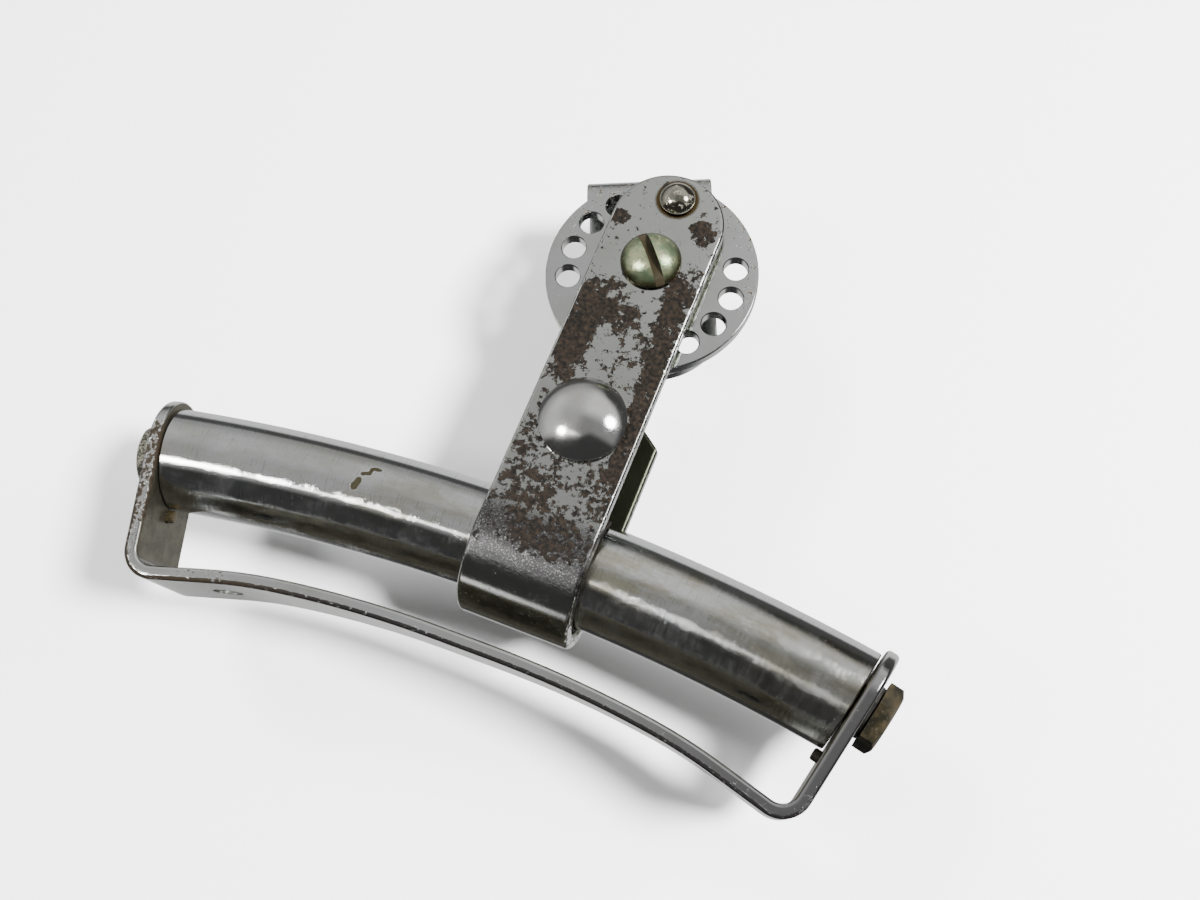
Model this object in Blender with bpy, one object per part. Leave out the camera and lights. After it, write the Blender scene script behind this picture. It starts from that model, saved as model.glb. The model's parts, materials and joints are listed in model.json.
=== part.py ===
"""Curved-rail drum mount: a bent foot bar carries a curved tube between its two ears.
A strap clamp grips the tube, and its arm ends in a notched tilting plate.
Frame: origin on the foot bar's seat face at mid-length, +X along the rail,
+Y from the seat towards the arm, +Z out of the arm's front face.  Metres."""
import bmesh
import bpy
from math import atan2, cos, pi, radians, sin, sqrt, tan
from mathutils import Vector

MM = 0.001
GAP = 0.3 * MM                 # clearance between neighbouring pieces

# rail tube
TUBE_R = 9.525 * MM            # 3/4 in tube
TUBE_WALL = 1.4 * MM
RAIL_R = 380.0 * MM            # radius of the tube's centre line
RAIL_Y = 20.8 * MM             # tube centre above the seat face at mid-length
RAIL_HALF_ANGLE = 0.1729       # tube centre line meets the ears here

# foot bar
BAR_T = 2.5 * MM
BAR_HALF_W = 9.7 * MM
SEAT_HALF = 5.0 * MM           # short flat at mid-length
SEAT_R = 210.0 * MM
SEAT_ARC = 30.0 * MM
TAIL_R = 90.0 * MM
TAIL_ARC = 12.0 * MM
EAR_LEAN = 0.24                # ears lean outwards
EAR_TOP = 10.9 * MM            # ear top above the tube's centre
CORNER_R = 4.2 * MM
FOOT_HOLE_R = 2.7 * MM
FOOT_HOLE_X = 47.0 * MM

# end bolts, 1/4 in
BOLT_R = 3.175 * MM
HEX_AF = 11.1 * MM
HEX_H = 3.1 * MM
HEX_TURN_LEFT = radians(30)    # how the heads stopped when tightened
HEX_TURN_RIGHT = radians(-15)
LOCK_T = 0.6 * MM              # thin lock washer under the right head only
LOCK_R = 5.0 * MM
PLUG_R = 7.3 * MM
PLUG_L = 9.0 * MM
STUD_R = 1.15 * MM
STUD_OUT = 1.5 * MM
STUD_DROP = 10.95 * MM         # below the tube's centre, measured along the ear

# clamp and arm
CLAMP_ANGLE = 0.0153           # where the clamp sits on the rail
ARM_PITCH = -0.0834
LINER_T = 0.7 * MM
LINER_HALF_W = 10.2 * MM
LINER_MOUTH = radians(60)
ARM_T = 2.9 * MM
ARM_HALF_W = 10.5 * MM
LOOP_IN = TUBE_R + GAP + LINER_T + GAP
ARM_FRONT = LOOP_IN + ARM_T
ARM_LEN = 74.2 * MM
CHEEK_LEN = 35.0 * MM
CLAMP_BOLT_U = 22.3 * MM
DOME_R = 7.8 * MM
DOME_H = 3.8 * MM
CLAMP_BOLT_L = 39.0 * MM
WASHER_T = 1.2 * MM
WASHER_R = 7.6 * MM
PIN_R = 1.6 * MM
PIN_HEAD_R = 3.3 * MM
PIN_HEAD_H = 2.5 * MM

# pivot and notched plate
PIVOT_U = 55.3 * MM
PIN_U = PIVOT_U + 13.6 * MM
SCREW_HEAD_R = 5.55 * MM
SCREW_HEAD_H = 3.7 * MM
SLOT_W = 1.7 * MM
SLOT_ANGLE = radians(40.0)
FRICTION_T = 0.7 * MM
PLATE_T = 2.4 * MM
PLATE_R = 19.7 * MM
PLATE_FRONT = ARM_FRONT - ARM_T - GAP - FRICTION_T - GAP
RING_R = 15.5 * MM
RING_HOLE_R = 2.25 * MM
RING_COUNT = 16                # places on the ring, two of them left without a hole
RING_BLANKS = (3, 11)
NOTCH = 2.0 * pi / RING_COUNT
TAB_HALF_W = 11.8 * MM
PLATE_GAP = 4.6 * MM           # between the notched plate and the tom plate behind it
FOLD_U = 16.7 * MM             # from the pivot to the start of the fold
LEG_END = 17.8 * MM
LEG_END_R = 14.0 * MM
NUT_AF = 11.1 * MM
NUT_T = 3.6 * MM
TOM_HOLE_R = 2.3 * MM

STEEL = dict(
    chrome=((0.62, 0.63, 0.64), 0.18, 1.0),
    worn_chrome=((0.45, 0.44, 0.42), 0.32, 1.0),
    zinc=((0.50, 0.52, 0.42), 0.30, 1.0),
    rusty=((0.22, 0.17, 0.11), 0.55, 0.8),
    dark_steel=((0.18, 0.18, 0.18), 0.45, 1.0),
    fibre=((0.10, 0.07, 0.05), 0.85, 0.0),
)


def clear_scene():
    for obj in list(bpy.data.objects):
        bpy.data.objects.remove(obj)


def make_material(name, finish):
    color, roughness, metallic = STEEL[finish]
    material = bpy.data.materials.new(name)
    material.use_nodes = True
    shader = material.node_tree.nodes["Principled BSDF"]
    shader.inputs["Base Color"].default_value = (*color, 1.0)
    shader.inputs["Roughness"].default_value = roughness
    shader.inputs["Metallic"].default_value = metallic
    return material


def add_piece(name, bm, finish, parent=None, location=(0, 0, 0), rotation=(0, 0, 0)):
    """Turn a bmesh into one named piece with its own material."""
    bmesh.ops.recalc_face_normals(bm, faces=bm.faces)
    mesh = bpy.data.meshes.new(name)
    bm.to_mesh(mesh)
    bm.free()
    mesh.shade_smooth()
    mesh.set_sharp_from_angle(angle=radians(32))
    mesh.materials.append(make_material(name, finish))
    obj = bpy.data.objects.new(name, mesh)
    bpy.context.scene.collection.objects.link(obj)
    obj.parent = parent
    obj.location = location
    obj.rotation_euler = rotation
    return obj


def add_frame(name, parent=None, location=(0, 0, 0), rotation=(0, 0, 0)):
    """Empty that carries a joint's place and direction."""
    frame = bpy.data.objects.new(name, None)
    bpy.context.scene.collection.objects.link(frame)
    frame.parent = parent
    frame.location = location
    frame.rotation_euler = rotation
    return frame


def combine(obj, name, bm, operation, location=(0, 0, 0), rotation=(0, 0, 0)):
    """Cut or join a hidden helper, placed in the piece's own axes."""
    helper = add_piece(name, bm, "dark_steel", obj, location, rotation)
    helper.hide_render = True
    helper.display_type = "WIRE"
    modifier = obj.modifiers.new(name, "BOOLEAN")
    modifier.operation = operation
    modifier.solver = "EXACT"
    modifier.object = helper
    return helper


def lathe(profile, count, ring=False):
    """Turn (radius, height) points about Z; a closed ring or a solid between two poles."""
    bm = bmesh.new()
    rows = []
    for radius, height in profile:
        if radius == 0:
            rows.append([bm.verts.new((0, 0, height))])
            continue
        angles = [2 * pi * k / count for k in range(count)]
        rows.append([bm.verts.new((radius * cos(a), radius * sin(a), height)) for a in angles])
    following = rows[1:] + rows[:1] if ring else rows[1:]
    for low, high in zip(rows, following):
        for k in range(count):
            j = (k + 1) % count
            corners = [low[k % len(low)], low[j % len(low)], high[j % len(high)], high[k % len(high)]]
            bm.faces.new(list(dict.fromkeys(corners)))
    return bm


def stack(layers):
    """Solid through outlines of equal length, each (points, height), with flat ends."""
    bm = bmesh.new()
    rows = [[bm.verts.new((x, y, height)) for x, y in points] for points, height in layers]
    for low, high in zip(rows, rows[1:]):
        for k in range(len(low)):
            j = (k + 1) % len(low)
            bm.faces.new([low[k], low[j], high[j], high[k]])
    bm.faces.new(rows[0])
    bm.faces.new(rows[-1])
    return bm


def polygon(count, flats, turn=0.0):
    """Corners of a regular polygon, given the distance across its flats."""
    radius = flats / 2 / cos(pi / count)
    return [(radius * cos(turn + 2 * pi * k / count), radius * sin(turn + 2 * pi * k / count))
            for k in range(count)]


def cylinder(radius, low, high, count=32):
    return lathe([(0, low), (radius, low), (radius, high), (0, high)], count)


def washer(inner, outer, thickness, count=28):
    edge = 0.15 * MM
    return lathe([(inner, 0), (outer - edge, 0), (outer, edge), (outer, thickness - edge),
                  (outer - edge, thickness), (inner, thickness)], count, ring=True)


def dome(radius, height, steps=7):
    """Profile of a spherical cap with a small straight rim, from the rim to the pole."""
    rim = 0.5 * MM
    rise = height - rim
    sphere = (radius ** 2 + rise ** 2) / (2 * rise)
    reach = atan2(radius, sphere - rise)
    points = [(radius - 0.2 * MM, 0.0), (radius, 0.2 * MM)]
    for k in range(steps):
        angle = reach * (1 - k / steps)
        points.append((sphere * sin(angle), rim + rise - sphere * (1 - cos(angle))))
    points.append((0, height))
    return points


def route(start, heading, segments):
    """Centre line made of straight and curved runs: (length, turn), turn in radians.
    Returns a function from distance to (point, heading) and the whole length."""
    runs = []
    point = Vector(start)
    total = 0.0
    for length, turn in segments:
        runs.append((total, length, turn, point.copy(), heading))
        point = run_point(point, heading, length, turn, length)
        heading += turn
        total += length

    def at(distance):
        chosen = runs[0]
        for run in runs:
            if distance >= run[0]:
                chosen = run
        begin, length, turn, origin, direction = chosen
        along = distance - begin
        bend = turn * min(max(along / length, 0.0), 1.0)
        return run_point(origin, direction, length, turn, along), direction + bend

    return at, total


def run_point(origin, heading, length, turn, along):
    """Point on one run; outside its ends the run goes on straight."""
    if abs(turn) < 1e-9 or along <= 0 or along > length:
        if abs(turn) > 1e-9 and along > length:
            end = run_point(origin, heading, length, turn, length)
            rest = along - length
            return end + Vector((cos(heading + turn), sin(heading + turn))) * rest
        return origin + Vector((cos(heading), sin(heading))) * along
    radius = length / turn
    swept = turn * along / length
    side = Vector((sin(heading + swept) - sin(heading), cos(heading) - cos(heading + swept)))
    return origin + side * radius


def strap(outline, at, thickness, fillet, axes, steps=2):
    """Bent flat bar with rounded edges.  outline holds (distance, half width) stations,
    at gives the centre line, axes are the plane's two directions and the width's."""
    first, second, across = axes
    quarter = [0.5 * pi * k / steps for k in range(steps + 1)]
    half = thickness / 2
    levels = [(fillet * (1 - sin(a)), fillet * (1 - cos(a)) - half) for a in quarter]
    levels += [(inset, -height) for inset, height in reversed(levels)]
    bm = bmesh.new()
    rows = []
    for k, (distance, width) in enumerate(outline):
        before = outline[max(k - 1, 0)]
        after = outline[min(k + 1, len(outline) - 1)]
        slope = Vector((after[0] - before[0], after[1] - before[1])).normalized()
        out = Vector((-slope.y, slope.x))
        right = []
        left = []
        for inset, height in levels:
            point, heading = at(distance - out.x * inset)
            flat = point + Vector((-sin(heading), cos(heading))) * height
            base = first * flat.x + second * flat.y
            right.append(bm.verts.new(base + across * (width - out.y * inset)))
            left.append(bm.verts.new(base - across * (width - out.y * inset)))
        rows.append((right, left))
    for (right, left), (next_right, next_left) in zip(rows, rows[1:]):
        ring = right + left[::-1]
        next_ring = next_right + next_left[::-1]
        for k in range(len(ring)):
            j = (k + 1) % len(ring)
            bm.faces.new([ring[k], ring[j], next_ring[j], next_ring[k]])
    for right, left in (rows[0], rows[-1]):
        for k in range(len(right) - 1):
            bm.faces.new([right[k], right[k + 1], left[k + 1], left[k]])
    return bm


def round_end(tip, radius, half_width, direction, steps=9, smallest=8.0):
    """Outline stations of a rounded end; direction is +1 when the bar starts at the tip."""
    widest = atan2(half_width, sqrt(max(radius ** 2 - half_width ** 2, 0.0)))
    angles = [radians(smallest) + (widest - radians(smallest)) * k / steps for k in range(steps + 1)]
    stations = [(tip + direction * radius * (1 - cos(a)), radius * sin(a)) for a in angles]
    return stations if direction > 0 else stations[::-1]


def spread(start, end, count):
    """Distances strictly between two stations."""
    return [start + (end - start) * k / count for k in range(1, count)]


# ---------------------------------------------------------------- rail

def rail_point(angle):
    return Vector((RAIL_R * sin(angle), RAIL_Y - RAIL_R * (1 - cos(angle)), 0))


def ear_frame(side):
    """Where the tube's centre line meets an ear's inner face, and the outward turn about Z."""
    point = rail_point(RAIL_HALF_ANGLE * side)
    turn = -EAR_LEAN if side > 0 else pi + EAR_LEAN
    return point, turn


def foot_route():
    """Half of the foot bar's centre line, from mid-length out to the right ear's top."""
    start = Vector((0, BAR_T / 2))
    bends = [(SEAT_HALF, 0.0), (SEAT_ARC, -SEAT_ARC / SEAT_R), (TAIL_ARC, -TAIL_ARC / TAIL_R)]
    at, total = route(start, 0.0, bends)
    tail, heading = at(total)
    ear_point, ear_turn = ear_frame(1)
    ear_mid = ear_point.xy + Vector((cos(ear_turn), sin(ear_turn))) * BAR_T / 2
    ear_heading = pi / 2 - EAR_LEAN
    tail_way = Vector((cos(heading), sin(heading)))
    ear_way = Vector((cos(ear_heading), sin(ear_heading)))
    reach = ear_mid - tail
    cross = tail_way.x * ear_way.y - tail_way.y * ear_way.x
    to_corner = (reach.x * ear_way.y - reach.y * ear_way.x) / cross
    corner = tail + tail_way * to_corner
    turn = ear_heading - heading
    cut = CORNER_R * tan(turn / 2)
    ear_length = (ear_mid - corner).length - cut + EAR_TOP
    bends += [(to_corner - cut, 0.0), (CORNER_R * turn, turn), (ear_length, 0.0)]
    at, total = route(start, 0.0, bends)
    marks = [0.0]
    for length, _ in bends:
        marks.append(marks[-1] + length)
    return at, total, marks


def mirrored(at):
    """Same line both ways from mid-length."""
    def both(distance):
        point, heading = at(abs(distance))
        if distance < 0:
            return Vector((-point.x, point.y)), -heading
        return point, heading
    return both


def rail_bracket():
    at, total, marks = foot_route()
    right = [SEAT_HALF]
    right += spread(marks[1], marks[2], 8) + [marks[2]]
    right += spread(marks[2], marks[3], 4) + [marks[3], marks[4]]
    right += spread(marks[4], marks[5], 6) + [marks[5]]
    right = [(s, BAR_HALF_W) for s in right]
    right += round_end(total, BAR_HALF_W, BAR_HALF_W, -1)
    outline = [(-s, w) for s, w in reversed(right)] + right
    axes = (Vector((1, 0, 0)), Vector((0, 1, 0)), Vector((0, 0, 1)))
    bracket = add_piece("rail_bracket", strap(outline, mirrored(at), BAR_T, 0.8 * MM, axes), "chrome")
    for side, tag in ((-1, "left"), (1, "right")):
        point, turn = ear_frame(side)
        combine(bracket, "cut_bolt_" + tag, cylinder(BOLT_R + GAP, -6 * MM, 6 * MM), "DIFFERENCE",
                point, (0, pi / 2, turn))
        down = Vector((-side * sin(EAR_LEAN), -cos(EAR_LEAN), 0)) * STUD_DROP
        combine(bracket, "cut_stud_" + tag, cylinder(STUD_R + GAP / 2, -6 * MM, 6 * MM, 12),
                "DIFFERENCE", point + down, (0, pi / 2, turn))
        combine(bracket, "cut_foot_" + tag, cylinder(FOOT_HOLE_R, -12 * MM, 12 * MM, 24),
                "DIFFERENCE", (side * FOOT_HOLE_X, 0, 0), (pi / 2, 0, -side * 0.25))
    return bracket


def rail_tube():
    """Curved hollow tube; its ends are cut parallel to the leaning ears."""
    end = RAIL_HALF_ANGLE - 1.2 * GAP / RAIL_R
    skew = tan(EAR_LEAN - RAIL_HALF_ANGLE)
    stations, sides = 24, 24
    bm = bmesh.new()
    shells = []
    for radius in (TUBE_R, TUBE_R - TUBE_WALL):
        rows = []
        for k in range(stations + 1):
            share = 2 * k / stations - 1
            angle = end * share
            centre = rail_point(angle)
            radial = Vector((sin(angle), cos(angle), 0))
            tangent = Vector((cos(angle), -sin(angle), 0))
            row = []
            for j in range(sides):
                turn = 2 * pi * j / sides
                out = radius * cos(turn)
                place = centre + radial * out + tangent * (out * skew * share)
                row.append(bm.verts.new(place + Vector((0, 0, radius * sin(turn)))))
            rows.append(row)
        shells.append(rows)
    for rows in shells:
        for low, high in zip(rows, rows[1:]):
            for j in range(sides):
                i = (j + 1) % sides
                bm.faces.new([low[j], low[i], high[i], high[j]])
    for index in (0, -1):
        outer, inner = shells[0][index], shells[1][index]
        for j in range(sides):
            i = (j + 1) % sides
            bm.faces.new([outer[j], outer[i], inner[i], inner[j]])
    return add_piece("rail_tube", bm, "chrome")


def hex_bolt(shank):
    """Hexagon head above the seat at z = 0, plain shank below it."""
    chamfer = 0.5 * MM
    head = polygon(6, HEX_AF)
    crown = polygon(6, HEX_AF - 2.4 * chamfer)
    bm = stack([(crown, 0), (head, chamfer / 2), (head, HEX_H - chamfer), (crown, HEX_H)])
    return bm, cylinder(BOLT_R, -shank, 1 * MM, 24)


def split_ring():
    """Lock washer: a flat spring ring with a narrow slit."""
    bm = bmesh.new()
    slit = radians(8)
    count = 20
    corners = [(BOLT_R + 0.35 * MM, 0), (LOCK_R, 0), (LOCK_R, LOCK_T), (BOLT_R + 0.35 * MM, LOCK_T)]
    rows = []
    for k in range(count + 1):
        angle = slit + (2 * pi - 2 * slit) * k / count
        rows.append([bm.verts.new((r * cos(angle), r * sin(angle), z)) for r, z in corners])
    for low, high in zip(rows, rows[1:]):
        for j in range(4):
            i = (j + 1) % 4
            bm.faces.new([low[j], low[i], high[i], high[j]])
    bm.faces.new(rows[0])
    bm.faces.new(rows[-1])
    return bm


def end_hardware(side, tag, turned, washer_t):
    """Bolt, tapped plug and locating stud of one ear, with a lock washer if it has a thickness."""
    point, turn = ear_frame(side)
    frame = add_frame("ear_frame_" + tag, None, point, (0, pi / 2, turn))
    seat = BAR_T + GAP
    if washer_t:
        add_piece("lock_washer_" + tag, split_ring(), "dark_steel", frame, (0, 0, BAR_T + GAP / 2))
        seat = BAR_T + washer_t + GAP
    head, shank = hex_bolt(seat + PLUG_L - 1 * MM)
    bolt = add_piece("end_bolt_" + tag, head, "rusty", frame, (0, 0, seat), (0, 0, turned))
    combine(bolt, "join_shank_" + tag, shank, "UNION")
    plug = washer(BOLT_R + GAP, PLUG_R, PLUG_L, 20)
    add_piece("tube_plug_" + tag, plug, "dark_steel", frame, (0, 0, -PLUG_L - 0.6 * MM))
    stud = lathe([(0, -STUD_OUT), (STUD_R * 0.7, -STUD_OUT), (STUD_R, 0.3 * MM - STUD_OUT),
                  (STUD_R, BAR_T - 0.2 * MM), (STUD_R * 0.8, BAR_T), (0, BAR_T)], 12)
    add_piece("locating_stud_" + tag, stud, "rusty", frame, (0, -side * STUD_DROP, 0))


# ---------------------------------------------------------------- clamp and arm

ARM_AXES = (Vector((0, 1, 0)), Vector((0, 0, 1)), Vector((1, 0, 0)))


def clamp_liner(frame):
    """Split sleeve of fibre between the tube and the strap, open towards the arm."""
    radius = TUBE_R + GAP + LINER_T / 2
    mouth = LINER_MOUTH / 2
    wrap = 2 * pi - LINER_MOUTH
    start = (radius * cos(mouth), radius * sin(mouth))
    at, total = route(start, mouth + pi / 2, [(wrap * radius, wrap)])
    outline = [(s, LINER_HALF_W) for s in [0.0] + spread(0.0, total, 36) + [total]]
    add_piece("clamp_liner", strap(outline, at, LINER_T, 0.12 * MM, ARM_AXES, 1), "fibre", frame)


def clamp_arm(frame):
    """Long front cheek, loop round the tube and short rear cheek, bent from one strap."""
    radius = LOOP_IN + ARM_T / 2
    loop = pi * radius
    at, total = route((ARM_LEN, radius), pi, [(ARM_LEN, 0.0), (loop, pi), (CHEEK_LEN, 0.0)])
    outline = round_end(0.0, ARM_HALF_W, ARM_HALF_W, 1, 12)
    outline += [(s, ARM_HALF_W) for s in [ARM_LEN * 0.5, ARM_LEN]]
    outline += [(s, ARM_HALF_W) for s in spread(ARM_LEN, ARM_LEN + loop, 26)]
    outline += [(ARM_LEN + loop, ARM_HALF_W), (total - 5.2 * MM, ARM_HALF_W)]
    outline += [(total - 4.6 * MM, ARM_HALF_W - 0.5 * MM), (total - 0.5 * MM, 4.6 * MM), (total, 3.6 * MM)]
    arm = add_piece("clamp_arm", strap(outline, at, ARM_T, 0.8 * MM, ARM_AXES, 3), "worn_chrome", frame)
    neck = polygon(4, 2 * BOLT_R + 2 * GAP, pi / 4)
    combine(arm, "cut_neck", stack([(neck, 0), (neck, 20 * MM)]), "DIFFERENCE", (0, CLAMP_BOLT_U, 0))
    combine(arm, "cut_rear", cylinder(BOLT_R + GAP, -20 * MM, 0, 24), "DIFFERENCE", (0, CLAMP_BOLT_U, 0))
    combine(arm, "cut_pivot", cylinder(BOLT_R + GAP, 0, 20 * MM, 24), "DIFFERENCE", (0, PIVOT_U, 0))
    combine(arm, "cut_pin", cylinder(PIN_R + GAP, 0, 20 * MM, 20), "DIFFERENCE", (0, PIN_U, 0))


def clamp_bolt(frame):
    """Dome-headed bolt with a square neck, through both cheeks."""
    head = lathe([(0, 0)] + dome(DOME_R, DOME_H), 36)
    bolt = add_piece("clamp_bolt", head, "chrome", frame, (0, CLAMP_BOLT_U, ARM_FRONT + GAP))
    neck = polygon(4, 2 * BOLT_R, pi / 4)
    combine(bolt, "join_neck", stack([(neck, -3.4 * MM), (neck, 0.5 * MM)]), "UNION")
    tip = 0.6 * MM
    rod = lathe([(0, -CLAMP_BOLT_L), (BOLT_R - tip, -CLAMP_BOLT_L), (BOLT_R, tip - CLAMP_BOLT_L),
                 (BOLT_R, 1 * MM), (0, 1 * MM)], 24)
    combine(bolt, "join_rod", rod, "UNION")


def wing_outline():
    """Two lobes rising from a low web, as seen from the side of the nut."""
    lobe = 2.9 * MM
    centre = (8.0 * MM, 6.4 * MM)
    right = [(0, 1.0 * MM), (5.0 * MM, 1.0 * MM)]
    for k in range(11):
        angle = radians(-50 + 20 * k)
        right.append((centre[0] + lobe * cos(angle), centre[1] + lobe * sin(angle)))
    right.append((4.2 * MM, 4.4 * MM))
    left = [(-x, z) for x, z in reversed(right) if x > 0]
    return right + [(0, 4.2 * MM)] + left


def wing_nut(frame):
    """Wing nut on the rear end of the clamp bolt; its wings point away from the cheek."""
    hub = lathe([(BOLT_R + GAP, 0), (5.6 * MM, 0), (5.9 * MM, 0.3 * MM), (4.7 * MM, 6.3 * MM),
                 (4.4 * MM, 6.6 * MM), (BOLT_R + GAP, 6.6 * MM)], 32, ring=True)
    low = -(ARM_FRONT + GAP + WASHER_T + GAP)
    nut = add_piece("wing_nut", hub, "worn_chrome", frame, (0, CLAMP_BOLT_U, low), (pi, 0, pi / 2))
    plate = wing_outline()
    combine(nut, "join_wings", stack([(plate, -1.1 * MM), (plate, 1.1 * MM)]), "UNION",
            (0, 0, 0), (pi / 2, 0, 0))
    combine(nut, "cut_thread", cylinder(BOLT_R + GAP, -5 * MM, 15 * MM, 24), "DIFFERENCE")


def clamp_washer(frame):
    low = -(ARM_FRONT + GAP + WASHER_T)
    add_piece("clamp_washer", washer(BOLT_R + GAP, WASHER_R, WASHER_T), "worn_chrome", frame,
              (0, CLAMP_BOLT_U, low))


def index_pin(frame):
    """Domed pin over the ring of holes; its nose stops just short of the plate."""
    nose = ARM_FRONT + GAP / 2 - PLATE_FRONT - GAP
    profile = [(0, -nose), (PIN_R - 0.4 * MM, -nose), (PIN_R, 0.5 * MM - nose), (PIN_R, 0)]
    pin = lathe(profile + dome(PIN_HEAD_R, PIN_HEAD_H, 5), 24)
    add_piece("index_pin", pin, "worn_chrome", frame, (0, PIN_U, ARM_FRONT + GAP / 2))


# ---------------------------------------------------------------- pivot and tilting plate

def pivot_screw(frame):
    """Round head with one slot; the shank runs through the arm, plate and nut."""
    end = PLATE_FRONT - PLATE_T - GAP - NUT_T
    seat = ARM_FRONT + GAP / 2
    profile = [(0, end - seat), (BOLT_R - 0.4 * MM, end - seat), (BOLT_R, end - seat + 0.4 * MM),
               (BOLT_R, 0)]
    screw = lathe(profile + dome(SCREW_HEAD_R, SCREW_HEAD_H, 7), 32)
    piece = add_piece("pivot_screw", screw, "zinc", frame, (0, PIVOT_U, seat))
    half = SLOT_W / 2
    box = [(-half, -8 * MM), (half, -8 * MM), (half, 8 * MM), (-half, 8 * MM)]
    combine(piece, "cut_slot", stack([(box, 1.7 * MM), (box, 8 * MM)]), "DIFFERENCE",
            (0, 0, 0), (0, 0, SLOT_ANGLE))


def pivot_washer(frame):
    low = PLATE_FRONT + GAP
    add_piece("friction_washer", washer(BOLT_R + GAP, 7.4 * MM, FRICTION_T), "dark_steel", frame,
              (0, PIVOT_U, low))


def pivot_nut(frame):
    """Square nut held behind the notched plate."""
    edge = 0.4 * MM
    square = polygon(4, NUT_AF, pi / 4)
    crown = polygon(4, NUT_AF - 2 * edge, pi / 4)
    body = stack([(crown, 0), (square, edge), (square, NUT_T - edge), (crown, NUT_T)])
    low = PLATE_FRONT - PLATE_T - GAP - NUT_T
    nut = add_piece("pivot_nut", body, "dark_steel", frame, (0, PIVOT_U, low), (0, 0, radians(12)))
    combine(nut, "cut_nut", cylinder(BOLT_R + GAP, -5 * MM, 15 * MM, 24), "DIFFERENCE")


def tom_bracket(frame):
    """Notched disc whose tab folds back into the plate that carries the drum.
    The tab points one notch to the left of the arm."""
    mid = PLATE_FRONT - PLATE_T / 2
    fold_r = (PLATE_GAP + PLATE_T) / 2
    front = PLATE_R + FOLD_U
    fold = pi * fold_r
    back = FOLD_U + LEG_END
    at, total = route((-PLATE_R, 0), 0.0, [(front, 0.0), (fold, -pi), (back, 0.0)])
    join = PLATE_R + sqrt(PLATE_R ** 2 - TAB_HALF_W ** 2)
    outline = round_end(0.0, PLATE_R, PLATE_R, 1, 14, 5.0)
    widest = atan2(TAB_HALF_W, join - PLATE_R)
    for k in range(1, 9):
        angle = pi / 2 + (pi / 2 - widest) * k / 8
        outline.append((PLATE_R - PLATE_R * cos(angle), PLATE_R * sin(angle)))
    outline += [(s, TAB_HALF_W) for s in [front] + spread(front, front + fold, 12) + [front + fold]]
    outline += round_end(total, LEG_END_R, TAB_HALF_W, -1, 9)
    turned = add_frame("tom_frame", frame, (0, PIVOT_U, mid), (0, 0, NOTCH))
    bracket = add_piece("tom_bracket", strap(outline, at, PLATE_T, 0.3 * MM, ARM_AXES, 1), "chrome", turned)
    combine(bracket, "cut_centre", cylinder(BOLT_R + GAP, -2 * MM, 3 * MM, 24), "DIFFERENCE")
    for k in range(RING_COUNT):
        if k in RING_BLANKS:
            continue
        angle = NOTCH * k
        place = (RING_R * sin(angle), RING_R * cos(angle), 0)
        combine(bracket, "cut_ring_%02d" % k, cylinder(RING_HOLE_R, -2 * MM, 3 * MM, 16),
                "DIFFERENCE", place)
    low = -PLATE_T - PLATE_GAP
    for k, (x, y) in enumerate(((-6.6, -11.5), (6.6, -11.5), (0.0, 11.0))):
        combine(bracket, "cut_tom_%d" % k, cylinder(TOM_HOLE_R, low - 2 * MM, low + 3 * MM, 16),
                "DIFFERENCE", (x * MM, y * MM, 0))


def build():
    clear_scene()
    rail_bracket()
    rail_tube()
    end_hardware(-1, "left", HEX_TURN_LEFT, 0)
    end_hardware(1, "right", HEX_TURN_RIGHT, LOCK_T)
    clamp = add_frame("clamp_frame", None, rail_point(CLAMP_ANGLE), (0, 0, -CLAMP_ANGLE))
    arm = add_frame("arm_frame", clamp, (0, 0, 0), (ARM_PITCH, 0, 0))
    clamp_liner(arm)
    clamp_arm(arm)
    clamp_bolt(arm)
    clamp_washer(arm)
    wing_nut(arm)
    index_pin(arm)
    pivot_screw(arm)
    pivot_washer(arm)
    pivot_nut(arm)
    tom_bracket(arm)


build()
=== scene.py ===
"""Looks for the curved-rail drum mount: fine surfaces, aged plating, table, lamps and camera."""
import json
from math import atan2, cos, pi, radians, sin, sqrt, tan

import bmesh
import bpy
from mathutils import Euler, Matrix, Vector

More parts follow.
